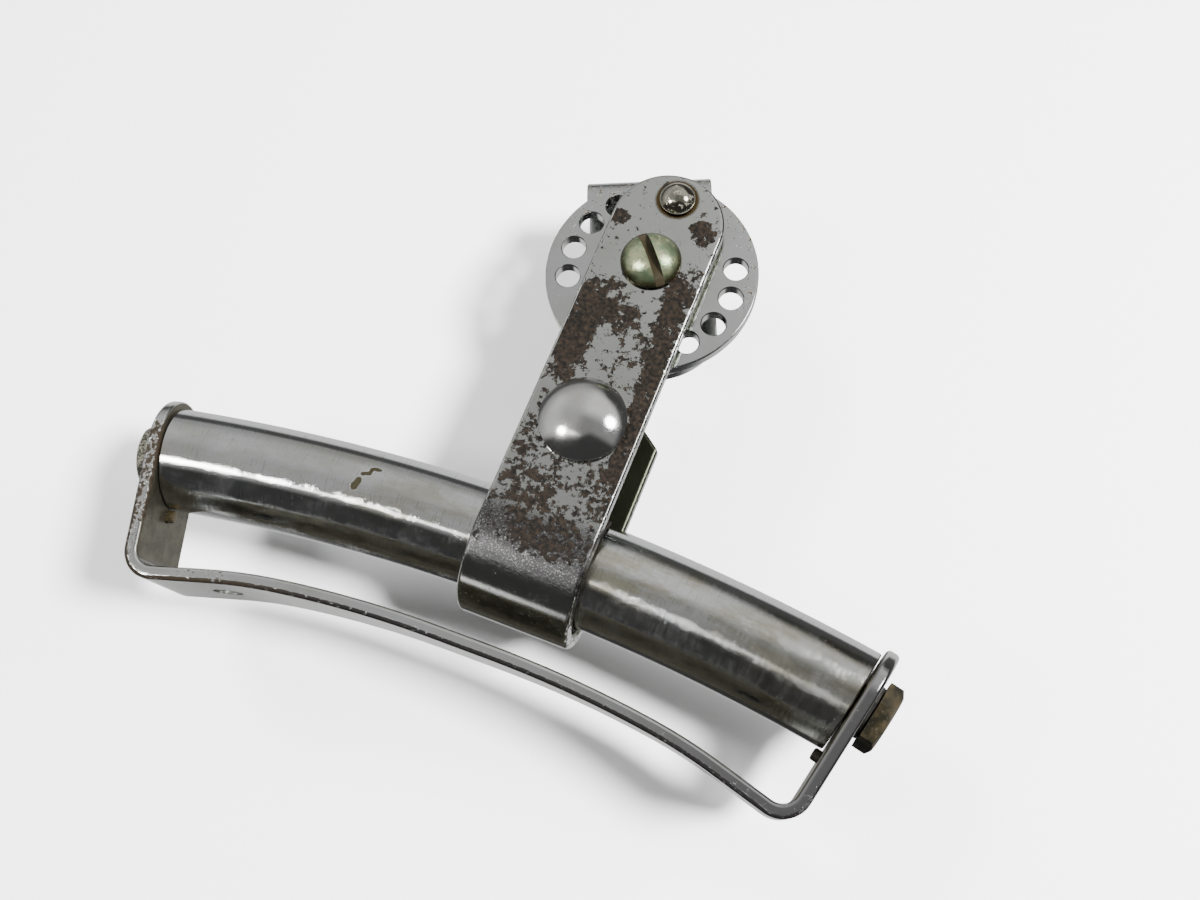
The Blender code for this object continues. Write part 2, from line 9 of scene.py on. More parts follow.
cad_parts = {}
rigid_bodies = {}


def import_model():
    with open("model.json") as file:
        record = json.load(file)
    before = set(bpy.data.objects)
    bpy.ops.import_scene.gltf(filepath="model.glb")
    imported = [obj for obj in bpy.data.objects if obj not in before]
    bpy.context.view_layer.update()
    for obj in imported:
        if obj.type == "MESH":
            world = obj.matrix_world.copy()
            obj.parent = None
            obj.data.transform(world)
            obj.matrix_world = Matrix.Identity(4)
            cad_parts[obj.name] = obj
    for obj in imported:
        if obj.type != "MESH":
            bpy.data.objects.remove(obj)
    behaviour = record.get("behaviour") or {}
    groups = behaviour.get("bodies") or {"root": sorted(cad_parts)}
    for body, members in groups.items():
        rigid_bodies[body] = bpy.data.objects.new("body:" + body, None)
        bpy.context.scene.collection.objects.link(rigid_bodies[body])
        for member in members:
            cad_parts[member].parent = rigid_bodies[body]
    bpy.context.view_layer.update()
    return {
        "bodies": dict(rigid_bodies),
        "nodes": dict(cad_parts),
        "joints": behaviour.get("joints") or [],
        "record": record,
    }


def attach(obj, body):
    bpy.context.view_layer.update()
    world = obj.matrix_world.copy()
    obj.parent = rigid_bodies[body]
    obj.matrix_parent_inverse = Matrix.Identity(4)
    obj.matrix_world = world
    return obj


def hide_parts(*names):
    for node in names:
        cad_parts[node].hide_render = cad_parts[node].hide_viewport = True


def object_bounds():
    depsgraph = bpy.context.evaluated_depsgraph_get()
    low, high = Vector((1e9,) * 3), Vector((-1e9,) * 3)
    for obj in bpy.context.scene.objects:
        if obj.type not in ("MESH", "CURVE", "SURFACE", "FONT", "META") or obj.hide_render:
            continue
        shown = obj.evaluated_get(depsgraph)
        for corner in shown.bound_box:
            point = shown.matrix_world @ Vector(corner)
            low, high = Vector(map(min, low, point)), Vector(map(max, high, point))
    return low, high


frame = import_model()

MM = 0.001
GAP = 0.3 * MM

# rail tube
TUBE_R = 9.525 * MM
TUBE_WALL = 1.4 * MM
RAIL_R = 380.0 * MM
RAIL_Y = 20.8 * MM
RAIL_HALF_ANGLE = 0.1729

# foot bar
BAR_T = 2.5 * MM
BAR_HALF_W = 9.7 * MM
SEAT_HALF = 5.0 * MM
SEAT_R = 210.0 * MM
SEAT_ARC = 30.0 * MM
TAIL_R = 90.0 * MM
TAIL_ARC = 12.0 * MM
EAR_LEAN = 0.24
EAR_TOP = 10.9 * MM
CORNER_R = 4.2 * MM
FOOT_HOLE_R = 2.7 * MM
FOOT_HOLE_X = 47.0 * MM

# end hardware, 1/4 in
BOLT_R = 3.175 * MM
BORE_R = BOLT_R + GAP
HEX_AF = 11.1 * MM
HEX_H = 3.1 * MM
HEX_TURN_LEFT = radians(30)
HEX_TURN_RIGHT = radians(-15)
LOCK_T = 0.6 * MM
LOCK_R = 5.0 * MM
PLUG_R = 7.3 * MM
PLUG_L = 9.0 * MM
STUD_R = 1.15 * MM
STUD_OUT = 1.5 * MM
STUD_DROP = 10.95 * MM

# clamp, liner and arm
CLAMP_ANGLE = 0.0153
ARM_PITCH = -0.0834
LINER_T = 0.7 * MM
LINER_HALF_W = 10.2 * MM
LINER_MOUTH = radians(60)
ARM_T = 2.9 * MM
ARM_HALF_W = 10.5 * MM
LOOP_IN = TUBE_R + GAP + LINER_T + GAP
ARM_FRONT = LOOP_IN + ARM_T
ARM_LEN = 74.2 * MM
CHEEK_LEN = 35.0 * MM

# bolt, washer and pin through the arm
CLAMP_BOLT_U = 22.3 * MM
DOME_R = 7.8 * MM
DOME_H = 3.8 * MM
CLAMP_BOLT_L = 39.0 * MM
WASHER_T = 1.2 * MM
WASHER_R = 7.6 * MM
PIN_R = 1.6 * MM
PIN_HEAD_R = 3.3 * MM
PIN_HEAD_H = 2.5 * MM

# pivot screw and notched plate
PIVOT_U = 55.3 * MM
PIN_U = PIVOT_U + 13.6 * MM
SCREW_HEAD_R = 5.55 * MM
SCREW_HEAD_H = 3.7 * MM
SLOT_W = 1.7 * MM
SLOT_ANGLE = radians(40.0)
SLOT_FLOOR = 1.7 * MM
FRICTION_T = 0.7 * MM
PLATE_T = 2.4 * MM
PLATE_R = 19.7 * MM
PLATE_FRONT = ARM_FRONT - ARM_T - GAP - FRICTION_T - GAP
RING_R = 15.5 * MM
RING_HOLE_R = 2.25 * MM
RING_COUNT = 16
RING_BLANKS = (3, 11)
NOTCH = 2.0 * pi / RING_COUNT
TAB_HALF_W = 11.8 * MM
PLATE_GAP = 4.6 * MM
FOLD_U = 16.7 * MM
LEG_END = 17.8 * MM
LEG_END_R = 14.0 * MM
NUT_AF = 11.1 * MM
NUT_T = 3.6 * MM
TOM_HOLE_R = 2.3 * MM

# threads on the bolt ends
THREAD_PITCH = 1.27 * MM
THREAD_DEPTH = 0.55 * MM

# edges and holes of the fine surfaces
STRAP_FILLET = 0.8 * MM
TOM_HOLES = ((-6.6, -11.5), (6.6, -11.5), (0.0, 11.0))

# studio
CAMERA_PLACE = (0.052509, -0.012488, 0.235121)
CAMERA_TURN = (radians(15.873), radians(5.244), radians(20.577))
CAMERA_LENS = 40.46
TABLE_HALF = 0.9
TABLE_MIDDLE = (0, 0.03)
BACKDROP_STRENGTH = 4.0

IDENTITY = Matrix.Identity(4)


# ---------------------------------------------------------------- mesh tools

def place(location=(0, 0, 0), rotation=(0, 0, 0)):
    return Matrix.Translation(location) @ Euler(rotation).to_matrix().to_4x4()


def raw_object(name, bm, matrix):
    bmesh.ops.recalc_face_normals(bm, faces=bm.faces)
    mesh = bpy.data.meshes.new(name)
    bm.to_mesh(mesh)
    bm.free()
    obj = bpy.data.objects.new(name, mesh)
    bpy.context.scene.collection.objects.link(obj)
    obj.matrix_world = matrix
    return obj


def cut(tool, matrix=IDENTITY):
    return "DIFFERENCE", tool, matrix


def add(tool, matrix=IDENTITY):
    return "UNION", tool, matrix


def keep(tool, matrix=IDENTITY):
    return "INTERSECT", tool, matrix


def piece(name, bm, matrix, body, node, material, changes=(), sharp=32):
    """One fine surface in place of a CAD node; changes are (operation, bmesh, matrix) in its axes.
    The finished mesh is in the row frame, and takes the record slot named like its material."""
    obj = raw_object(name, bm, matrix)
    helpers = []
    for k, (operation, tool, tool_matrix) in enumerate(changes):
        helper = raw_object(name + "_tool_%d" % k, tool, matrix @ tool_matrix)
        modifier = obj.modifiers.new("change_%d" % k, "BOOLEAN")
        modifier.operation = operation
        modifier.solver = "EXACT"
        modifier.object = helper
        helpers.append(helper)
    if helpers:
        bpy.context.view_layer.update()
        evaluated = obj.evaluated_get(bpy.context.evaluated_depsgraph_get())
        mesh = bpy.data.meshes.new_from_object(evaluated)
        obj.modifiers.clear()
        obj.data = mesh
        for helper in helpers:
            bpy.data.objects.remove(helper)
    obj.data.transform(matrix)
    obj.matrix_world = IDENTITY
    obj.data.materials.clear()
    obj.data.materials.append(material)
    obj.data.shade_smooth()
    obj.data.set_sharp_from_angle(angle=radians(sharp))
    weighted = obj.modifiers.new("even_normals", "WEIGHTED_NORMAL")
    weighted.keep_sharp = True
    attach(obj, body)
    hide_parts(node)
    return obj


def lathe(profile, count, ring=False):
    """Solid of revolution about Z; a ring's profile closes on itself."""
    bm = bmesh.new()
    rows = []
    for radius, height in profile:
        if radius == 0:
            rows.append([bm.verts.new((0, 0, height))])
            continue
        angles = [2 * pi * k / count for k in range(count)]
        rows.append([bm.verts.new((radius * cos(a), radius * sin(a), height)) for a in angles])
    following = rows[1:] + rows[:1] if ring else rows[1:]
    for low, high in zip(rows, following):
        for k in range(count):
            j = (k + 1) % count
            corners = [row[i % len(row)] for row, i in ((low, k), (low, j), (high, j), (high, k))]
            bm.faces.new(list(dict.fromkeys(corners)))
    return bm


def skin(bm, rows, capped=True):
    """Quads between rows, each of which is a ring of equally many vertices."""
    for low, high in zip(rows, rows[1:]):
        for k in range(len(low)):
            j = (k + 1) % len(low)
            bm.faces.new([low[k], low[j], high[j], high[k]])
    if capped:
        bm.faces.new(rows[0])
        bm.faces.new(rows[-1])
    return bm


def stack(layers):
    """Prism through outlines of equally many points, each at its own height."""
    bm = bmesh.new()
    rows = [[bm.verts.new((x, y, height)) for x, y in points] for points, height in layers]
    return skin(bm, rows)


def polygon(count, flats, turn=0.0):
    radius = flats / 2 / cos(pi / count)
    return [(radius * cos(turn + 2 * pi * k / count), radius * sin(turn + 2 * pi * k / count))
            for k in range(count)]


def cylinder(radius, low, high, count=64):
    return lathe([(0, low), (radius, low), (radius, high), (0, high)], count)


def hole_tool(radius, low, high, flare, count=56):
    """Cutter that also breaks the edges of both faces, which lie at low and high."""
    past = 1.0 * MM
    wide = radius + flare + past
    return lathe([(0, low - past), (wide, low - past), (radius + flare, low), (radius, low + flare),
                  (radius, high - flare), (radius + flare, high), (wide, high + past),
                  (0, high + past)], count)


def washer(inner, outer, thickness, count=72):
    edge = 0.18 * MM
    return lathe([(inner, edge), (inner + edge, 0), (outer - edge, 0), (outer, edge),
                  (outer, thickness - edge), (outer - edge, thickness),
                  (inner + edge, thickness), (inner, thickness - edge)], count, ring=True)


def dome(radius, height, steps=20):
    """Profile of a round head: a short upright rim, then a spherical cap."""
    rim = 0.5 * MM
    rise = height - rim
    sphere = (radius ** 2 + rise ** 2) / (2 * rise)
    reach = atan2(radius, sphere - rise)
    points = [(radius - 0.25 * MM, 0.0), (radius - 0.07 * MM, 0.07 * MM), (radius, 0.25 * MM)]
    for k in range(steps):
        angle = reach * (1 - k / steps)
        points.append((sphere * sin(angle), rim + rise - sphere * (1 - cos(angle))))
    points.append((0, height))
    return points


def threaded_rod(radius, low, high, plain_from, count=40):
    """Rod along Z whose lower part carries a helical thread, with a pointed lead-in."""
    bm = bmesh.new()
    step = THREAD_PITCH / 8
    heights = [low + step * k for k in range(int((plain_from - low) / step) + 1)] + [high]
    rows = []
    for height in heights:
        row = []
        for k in range(count):
            phase = (height / THREAD_PITCH - k / count) % 1.0
            groove = THREAD_DEPTH * abs(2 * phase - 1)
            lead = max(0.0, 0.7 * MM - (height - low))
            fade = min(1.0, max(0.0, (plain_from - height) / THREAD_PITCH))
            r = radius - max(groove * fade, lead)
            angle = 2 * pi * k / count
            row.append(bm.verts.new((r * cos(angle), r * sin(angle), height)))
        rows.append(row)
    return skin(bm, rows)


def run_point(origin, heading, length, turn, along):
    """Point on one straight or curved run, which goes on straight past its ends."""
    if turn and along > length:
        end = run_point(origin, heading, length, turn, length)
        return end + Vector((cos(heading + turn), sin(heading + turn))) * (along - length)
    if not turn or along <= 0:
        return origin + Vector((cos(heading), sin(heading))) * along
    radius = length / turn
    swept = turn * along / length
    side = Vector((sin(heading + swept) - sin(heading), cos(heading) - cos(heading + swept)))
    return origin + side * radius


def route(start, heading, segments):
    """Centre line of straight and curved runs, as a function from distance to (point, heading)."""
    runs = []
    point = Vector(start)
    total = 0.0
    for length, turn in segments:
        runs.append((total, length, turn, point.copy(), heading))
        point = run_point(point, heading, length, turn, length)
        heading += turn
        total += length

    def at(distance):
        chosen = runs[0]
        for run in runs:
            if distance >= run[0]:
                chosen = run
        begin, length, turn, origin, direction = chosen
        along = distance - begin
        bend = turn * min(max(along / length, 0.0), 1.0)
        return run_point(origin, direction, length, turn, along), direction + bend

    return at, total


def strap(outline, at, thickness, fillet, axes, steps=6):
    """Bent flat bar with rounded edges from (distance, half width) stations."""
    first, second, across = axes
    quarter = [0.5 * pi * k / steps for k in range(steps + 1)]
    half = thickness / 2
    levels = [(fillet * (1 - sin(a)), fillet * (1 - cos(a)) - half) for a in quarter]
    levels += [(inset, -height) for inset, height in reversed(levels)]
    bm = bmesh.new()
    rows = []
    for k, (distance, width) in enumerate(outline):
        before = outline[max(k - 1, 0)]
        after = outline[min(k + 1, len(outline) - 1)]
        slope = Vector((after[0] - before[0], after[1] - before[1])).normalized()
        out = Vector((-slope.y, slope.x))
        right = []
        left = []
        for inset, height in levels:
            point, heading = at(distance - out.x * inset)
            flat = point + Vector((-sin(heading), cos(heading))) * height
            base = first * flat.x + second * flat.y
            right.append(bm.verts.new(base + across * (width - out.y * inset)))
            left.append(bm.verts.new(base - across * (width - out.y * inset)))
        rows.append((right, left))
    skin(bm, [right + left[::-1] for right, left in rows], capped=False)
    for right, left in (rows[0], rows[-1]):
        for k in range(len(right) - 1):
            bm.faces.new([right[k], right[k + 1], left[k + 1], left[k]])
    return bm


def round_end(tip, radius, half_width, direction, steps=30):
    """Stations of a strap's rounded end, from the tip inwards or the other way."""
    narrowest = radians(3.0)
    widest = atan2(half_width, sqrt(max(radius ** 2 - half_width ** 2, 0.0)))
    angles = [narrowest + (widest - narrowest) * k / steps for k in range(steps + 1)]
    stations = [(tip + direction * radius * (1 - cos(a)), radius * sin(a)) for a in angles]
    return stations if direction > 0 else stations[::-1]


def spread(start, end, count):
    """Evenly spaced values between start and end, without either of them."""
    return [start + (end - start) * k / count for k in range(1, count)]


# ---------------------------------------------------------------- material tools

class Nodes:
    """Short ways to build a node tree; a value is a number, a vector or another node's output."""

    def __init__(self, tree):
        self.tree = tree

    def node(self, kind, **settings):
        made = self.tree.nodes.new(kind)
        for key, value in settings.items():
            setattr(made, key, value)
        return made

    def feed(self, socket, value):
        if isinstance(value, bpy.types.NodeSocket):
            self.tree.links.new(value, socket)
        else:
            socket.default_value = value

    def vector(self, operation, a, b=(0, 0, 0), scale=1.0):
        made = self.node("ShaderNodeVectorMath", operation=operation)
        self.feed(made.inputs[0], a)
        if operation == "SCALE":
            self.feed(made.inputs["Scale"], scale)
        else:
            self.feed(made.inputs[1], b)
        return made.outputs["Value" if operation == "LENGTH" else "Vector"]

    def math(self, operation, a, b=0.0):
        made = self.node("ShaderNodeMath", operation=operation)
        self.feed(made.inputs[0], a)
        self.feed(made.inputs[1], b)
        return made.outputs[0]

    def chain(self, operation, values):
        whole = values[0]
        for value in values[1:]:
            whole = self.math(operation, whole, value)
        return whole

    def times(self, *values):
        return self.chain("MULTIPLY", values)

    def plus(self, *values):
        return self.chain("ADD", values)

    def magnitude(self, a):
        return self.math("ABSOLUTE", a)

    def noise(self, coords, scale, detail=4.0, rough=0.55):
        made = self.node("ShaderNodeTexNoise")
        self.feed(made.inputs["Vector"], coords)
        made.inputs["Scale"].default_value = scale
        made.inputs["Detail"].default_value = detail
        made.inputs["Roughness"].default_value = rough
        return made.outputs["Fac"]

    def streaks(self, coords, stretch, detail=4.0, rough=0.7):
        """Noise with its own scale along each axis."""
        return self.noise(self.vector("MULTIPLY", coords, stretch), 1.0, detail, rough)

    def ramp(self, value, low, high, to_low=0.0, to_high=1.0):
        made = self.node("ShaderNodeMapRange", interpolation_type="SMOOTHSTEP")
        self.feed(made.inputs["Value"], value)
        for key, number in (("From Min", low), ("From Max", high), ("To Min", to_low),
                            ("To Max", to_high)):
            self.feed(made.inputs[key], number)
        return made.outputs["Result"]

    def blend(self, amount, a, b):
        """Colour mix."""
        made = self.node("ShaderNodeMix", data_type="RGBA")
        self.feed(made.inputs[0], amount)
        self.feed(made.inputs[6], (*a, 1) if isinstance(a, tuple) else a)
        self.feed(made.inputs[7], (*b, 1) if isinstance(b, tuple) else b)
        return made.outputs[2]

    def level(self, amount, a, b):
        """Number mix."""
        made = self.node("ShaderNodeMix", data_type="FLOAT")
        self.feed(made.inputs[0], amount)
        self.feed(made.inputs[2], a)
        self.feed(made.inputs[3], b)
        return made.outputs[0]

    def split(self, coords):
        made = self.node("ShaderNodeSeparateXYZ")
        self.feed(made.inputs[0], coords)
        return made.outputs

    def join(self, x, y, z):
        made = self.node("ShaderNodeCombineXYZ")
        for socket, value in zip(made.inputs, (x, y, z)):
            self.feed(socket, value)
        return made.outputs[0]

    def spot(self, coords, centre, size, strength):
        """Soft blob of the given half sizes; strength at its middle, nothing outside."""
        away = self.vector("SUBTRACT", coords, centre)
        shaped = self.vector("MULTIPLY", away, tuple(1.0 / s for s in size))
        return self.ramp(self.vector("LENGTH", shaped), 0.35, 1.25, strength, 0.0)


class Surface(Nodes):
    """A Principled material, which measures in millimetres in the axes of its own piece."""

    def __init__(self, name, roughness=0.3, metallic=1.0, frame=None):
        self.material = bpy.data.materials.new(name)
        self.material["slot"] = name
        self.material.use_nodes = True
        super().__init__(self.material.node_tree)
        self.shader = self.tree.nodes["Principled BSDF"]
        self.shader.inputs["Roughness"].default_value = roughness
        self.shader.inputs["Metallic"].default_value = metallic
        coords = self.node("ShaderNodeTexCoord")
        self.normal = coords.outputs["Normal"]
        place_in = coords.outputs["Object"]
        if frame is not None:
            self.normal = self.seen_from(frame.to_3x3().to_4x4(), self.normal)
            place_in = self.seen_from(frame, place_in)
        self.mm = self.vector("SCALE", place_in, scale=1000.0)

    def seen_from(self, frame, value):
        """The same point or direction in the axes of another frame."""
        mapping = self.node("ShaderNodeMapping", vector_type="TEXTURE")
        self.feed(mapping.inputs["Vector"], value)
        mapping.inputs["Location"].default_value = frame.to_translation()
        mapping.inputs["Rotation"].default_value = frame.to_euler("XYZ")
        return mapping.outputs["Vector"]

    def bump(self, height, depth_mm):
        made = self.node("ShaderNodeBump")
        made.inputs["Strength"].default_value = 1.0
        made.inputs["Distance"].default_value = depth_mm * MM
        self.feed(made.inputs["Height"], height)
        return made.outputs["Normal"]

    def finish(self, color, roughness, metallic, normal):
        for key, value in (("Base Color", color), ("Roughness", roughness), ("Metallic", metallic),
                           ("Normal", normal)):
            self.feed(self.shader.inputs[key], value)
        return self.material


# bare and rusty places
RUST_DARK = (0.0045, 0.0032, 0.0020)
RUST_BROWN = (0.0170, 0.0120, 0.0066)
RUST_GREY = (0.0030, 0.0027, 0.0030)
FLAKE_DARK = (0.0006, 0.0005, 0.0003)
FLAKE_LIGHT = (0.0125, 0.0086, 0.0054)
NICK_DARK = (0.0060, 0.0050, 0.0022)
NICK_BROWN = (0.016, 0.013, 0.006)
SPECK_DARK = (0.008, 0.005, 0.003)
SPECK_BROWN = (0.030, 0.019, 0.009)
OLIVE_DARK = (0.0070, 0.0064, 0.0036)
OLIVE_LIGHT = (0.0230, 0.0175, 0.0082)
SOOT = (0.003, 0.0022, 0.0015)
RUBBED = (0.34, 0.33, 0.27)
MOTTLE_DARK = (0.007, 0.005, 0.003)
MOTTLE_LIGHT = (0.028, 0.021, 0.011)
PIN_FOOT = (0.036, 0.025, 0.010)

# plating and tarnish, with some painted shade
CHROME = (0.73, 0.745, 0.735)
HAZE = (0.60, 0.585, 0.50)
# painted shade: dark dull colours for the bar's faces that look towards the tube
DULL_SHADED_INSIDE = (0.055, 0.051, 0.037)
DULL_SHADED_PALE = (0.110, 0.103, 0.078)
# painted shade: darker colour for the bar's edges towards the right end, standing for a darker
# reflection
BAR_EDGE_SHADE = (0.27, 0.265, 0.275)
ARM_CHROME = (0.57, 0.585, 0.565)
ARM_HAZE = (0.50, 0.49, 0.43)
# painted shade for the arm's faces that look inwards
ARM_INSIDE_SHADE = (0.145, 0.155, 0.110)
# painted shade at the arm's fold
FROST_SHADE = (0.115, 0.112, 0.112)
PIN_GRIME = (0.110, 0.078, 0.032)
TUBE_CHROME = (0.70, 0.715, 0.715)
TUBE_HAZE = (0.50, 0.48, 0.385)
TUBE_WORN = (0.37, 0.36, 0.31)
SCRATCH = (0.33, 0.32, 0.28)
DOME_CHROME = (0.76, 0.76, 0.76)
DOME_FILM = (0.68, 0.665, 0.59)
PLATE_CHROME = (0.62, 0.635, 0.630)
PLATE_HAZE = (0.57, 0.56, 0.50)
ZINC_GREEN = (0.20, 0.275, 0.165)
ZINC_YELLOW = (0.47, 0.50, 0.30)
# painted shade round the screw head's rim
ZINC_RIM_SHADE = (0.045, 0.040, 0.018)
ZINC_BLOT = (0.22, 0.23, 0.13)
# painted shade down in the screw slot
SLOT_SHADE = (0.014, 0.011, 0.006)
PIN_LIGHT = (0.46, 0.445, 0.38)
PIN_BROWN = (0.32, 0.295, 0.225)
STEEL_DARK = (0.04, 0.038, 0.034)
STEEL_LIGHT = (0.16, 0.152, 0.136)
FIBRE_DARK = (0.002, 0.0018, 0.0015)
FIBRE_LIGHT = (0.009, 0.007, 0.005)


def pits(surface, amount, size=0.55):
    """Small scattered rust pits, gathered in patches: 1 in a pit."""
    fine = surface.noise(surface.mm, 1.0 / size, 3.0, 0.6)
    broad = surface.noise(surface.mm, 0.12, 2.0, 0.5)
    level = surface.plus(fine, surface.times(broad, 0.45))
    return surface.ramp(level, 0.955 - amount, 0.985 - amount)


def plating(surface, color, roughness, bare, rust, relief, depth_mm, metallic=1.0):
    """Plated metal with bare rusty places: smooth and metallic outside them, dull inside."""
    s = surface
    grain = s.noise(s.mm, 4.0, 5.0, 0.75)
    whole = s.blend(bare, color, rust)
    rough = s.level(bare, roughness, s.level(grain, 0.55, 0.85))
    metal = s.level(bare, metallic, 0.1)
    sunk = s.math("SUBTRACT", relief, bare)
    height = s.plus(sunk, s.times(grain, bare, 0.5))
    return s.finish(whole, rough, metal, s.bump(height, depth_mm))


def rust_grain(surface, scale, dark=RUST_DARK, brown=RUST_BROWN):
    return surface.blend(surface.noise(surface.mm, scale, 4.0, 0.7), dark, brown)


def nut_finish(frame):
    """Plating with fine pits, a dull haze and crossing hair scratches."""
    s = Surface("nut_plating", frame=frame)
    haze = s.ramp(s.noise(s.mm, 0.11, 4.0, 0.6), 0.42, 0.72, 0.0, 0.8)
    hair = s.streaks(s.mm, (0.5, 6.0, 6.0))
    cross = s.streaks(s.mm, (7.0, 0.6, 3.0))
    worn = s.plus(s.times(hair, 0.5), s.times(cross, 0.5))
    roughness = s.plus(s.level(haze, 0.16, 0.26), s.ramp(worn, 0.45, 0.65, 0.0, 0.09))
    color = s.blend(haze, CHROME, HAZE)
    return plating(s, color, roughness, pits(s, 0.03), rust_grain(s, 3.0), s.times(worn, 0.25),
                   0.03)


def bracket_finish():
    """Chrome foot bar: dull brownish inside and painted darker there as shade from the tube, rust
    pits along its edges, worst at the left ear, and its edges painted darker towards the right end
    as a dark reflection.
    """
    s = Surface("bracket_chrome")
    x, y, z = s.split(s.mm)
    nx, ny = s.split(s.normal)[:2]
    from_middle = s.magnitude(x)
    from_centre_line = s.magnitude(z)
    inward_x = s.times(nx, s.times(x, -1.0 / 60.0))
    sideways = s.times(inward_x, s.ramp(from_middle, 48.0, 60.0))
    level = s.times(ny, s.ramp(from_middle, 52.0, 62.0, 1.0, 0.0))
    toward_tube = s.plus(sideways, level)
    inward = s.ramp(toward_tube, 0.45, 0.75)
    outward = s.ramp(toward_tube, 0.06, -0.20, 0.0, 1.0)
    on_edge = s.ramp(from_centre_line, 8.75, 9.15)
    crest = s.ramp(from_middle, 60.0, 66.0, 1.0, 0.0)
    ragged = s.noise(s.mm, 1.1, 6.0, 0.72)
    left = s.ramp(x, -58.0, -66.0)
    edge_band = s.ramp(from_centre_line, 8.4, 9.0)
    bias = s.plus(s.times(outward, on_edge, crest, 0.36), s.times(left, edge_band, 0.24),
                  s.times(left, inward, 0.09))
    bare = s.math("MAXIMUM", pits(s, 0.02), s.ramp(s.plus(ragged, bias), 0.70, 0.74))
    grime = s.noise(s.mm, 0.35, 5.0, 0.7)
    # painted shade: faces turned towards the tube get a dark colour standing for the shade between
    # bar and tube, over real dull plating
    dull = s.blend(s.ramp(grime, 0.3, 0.7), DULL_SHADED_INSIDE, DULL_SHADED_PALE)
    haze = s.ramp(s.noise(s.mm, 0.09, 4.0, 0.6), 0.42, 0.75, 0.0, 0.5)
    plated = s.blend(haze, CHROME, HAZE)
    # painted shade: the bar's edges are darkened towards the right end, as a darker reflection
    # there
    edge_shade_right = s.times(s.ramp(x, 15.0, 60.0, 0.0, 0.75), s.ramp(from_centre_line, 8.0, 9.0))
    plated = s.blend(edge_shade_right, plated, BAR_EDGE_SHADE)
    color = s.blend(inward, plated, dull)
    streak = s.streaks(s.mm, (0.4, 3.0, 5.0), 5.0, 0.7)
    polished = s.ramp(streak, 0.4, 0.7, 0.08, 0.18)
    roughness = s.level(inward, polished, s.level(grime, 0.32, 0.5))
    rust = s.blend(s.ramp(x, -50.0, -20.0, 0.0, 0.9), rust_grain(s, 3.0), RUST_GREY)
    metallic = s.level(inward, 1.0, 0.9)
    relief = s.times(s.plus(streak, grime), 0.35)
    return plating(s, color, roughness, bare, rust, relief, 0.05, metallic)


# lost plating on the front cheek, in mm: across, along, half width, half length, strength
FLAKED = (
    (-7.6, 40.0, 4.4, 10.2, 0.31), (-6.8, 31.0, 3.6, 4.0, 0.19), (-8.8, 18.0, 3.6, 9.0, 0.06),
    (-1.5, 44.0, 4.6, 4.2, 0.20), (2.0, 38.0, 4.5, 9.0, 0.07), (7.2, 50.5, 3.6, 6.5, 0.24),
    (7.6, 40.0, 3.4, 8.5, 0.27), (8.6, 29.0, 2.8, 8.5, 0.26), (9.2, 20.0, 2.2, 7.0, 0.20),
    (6.6, 63.8, 3.2, 3.5, 0.26), (-9.2, 62.2, 3.0, 1.8, 0.28), (-4.4, 48.7, 2.1, 2.0, 0.20),
    (0.5, 8.5, 17.0, 14.0, 0.105), (-4.0, 6.5, 6.0, 6.0, 0.07), (9.0, 13.0, 3.5, 6.5, 0.10),
    (3.0, -0.5, 9.0, 4.5, 0.10), (0.0, -12.5, 26.0, 8.0, -0.40), (0.5, 60.5, 7.5, 12.0, -0.06),
    (0.5, 24.0, 9.5, 8.0, 0.00))


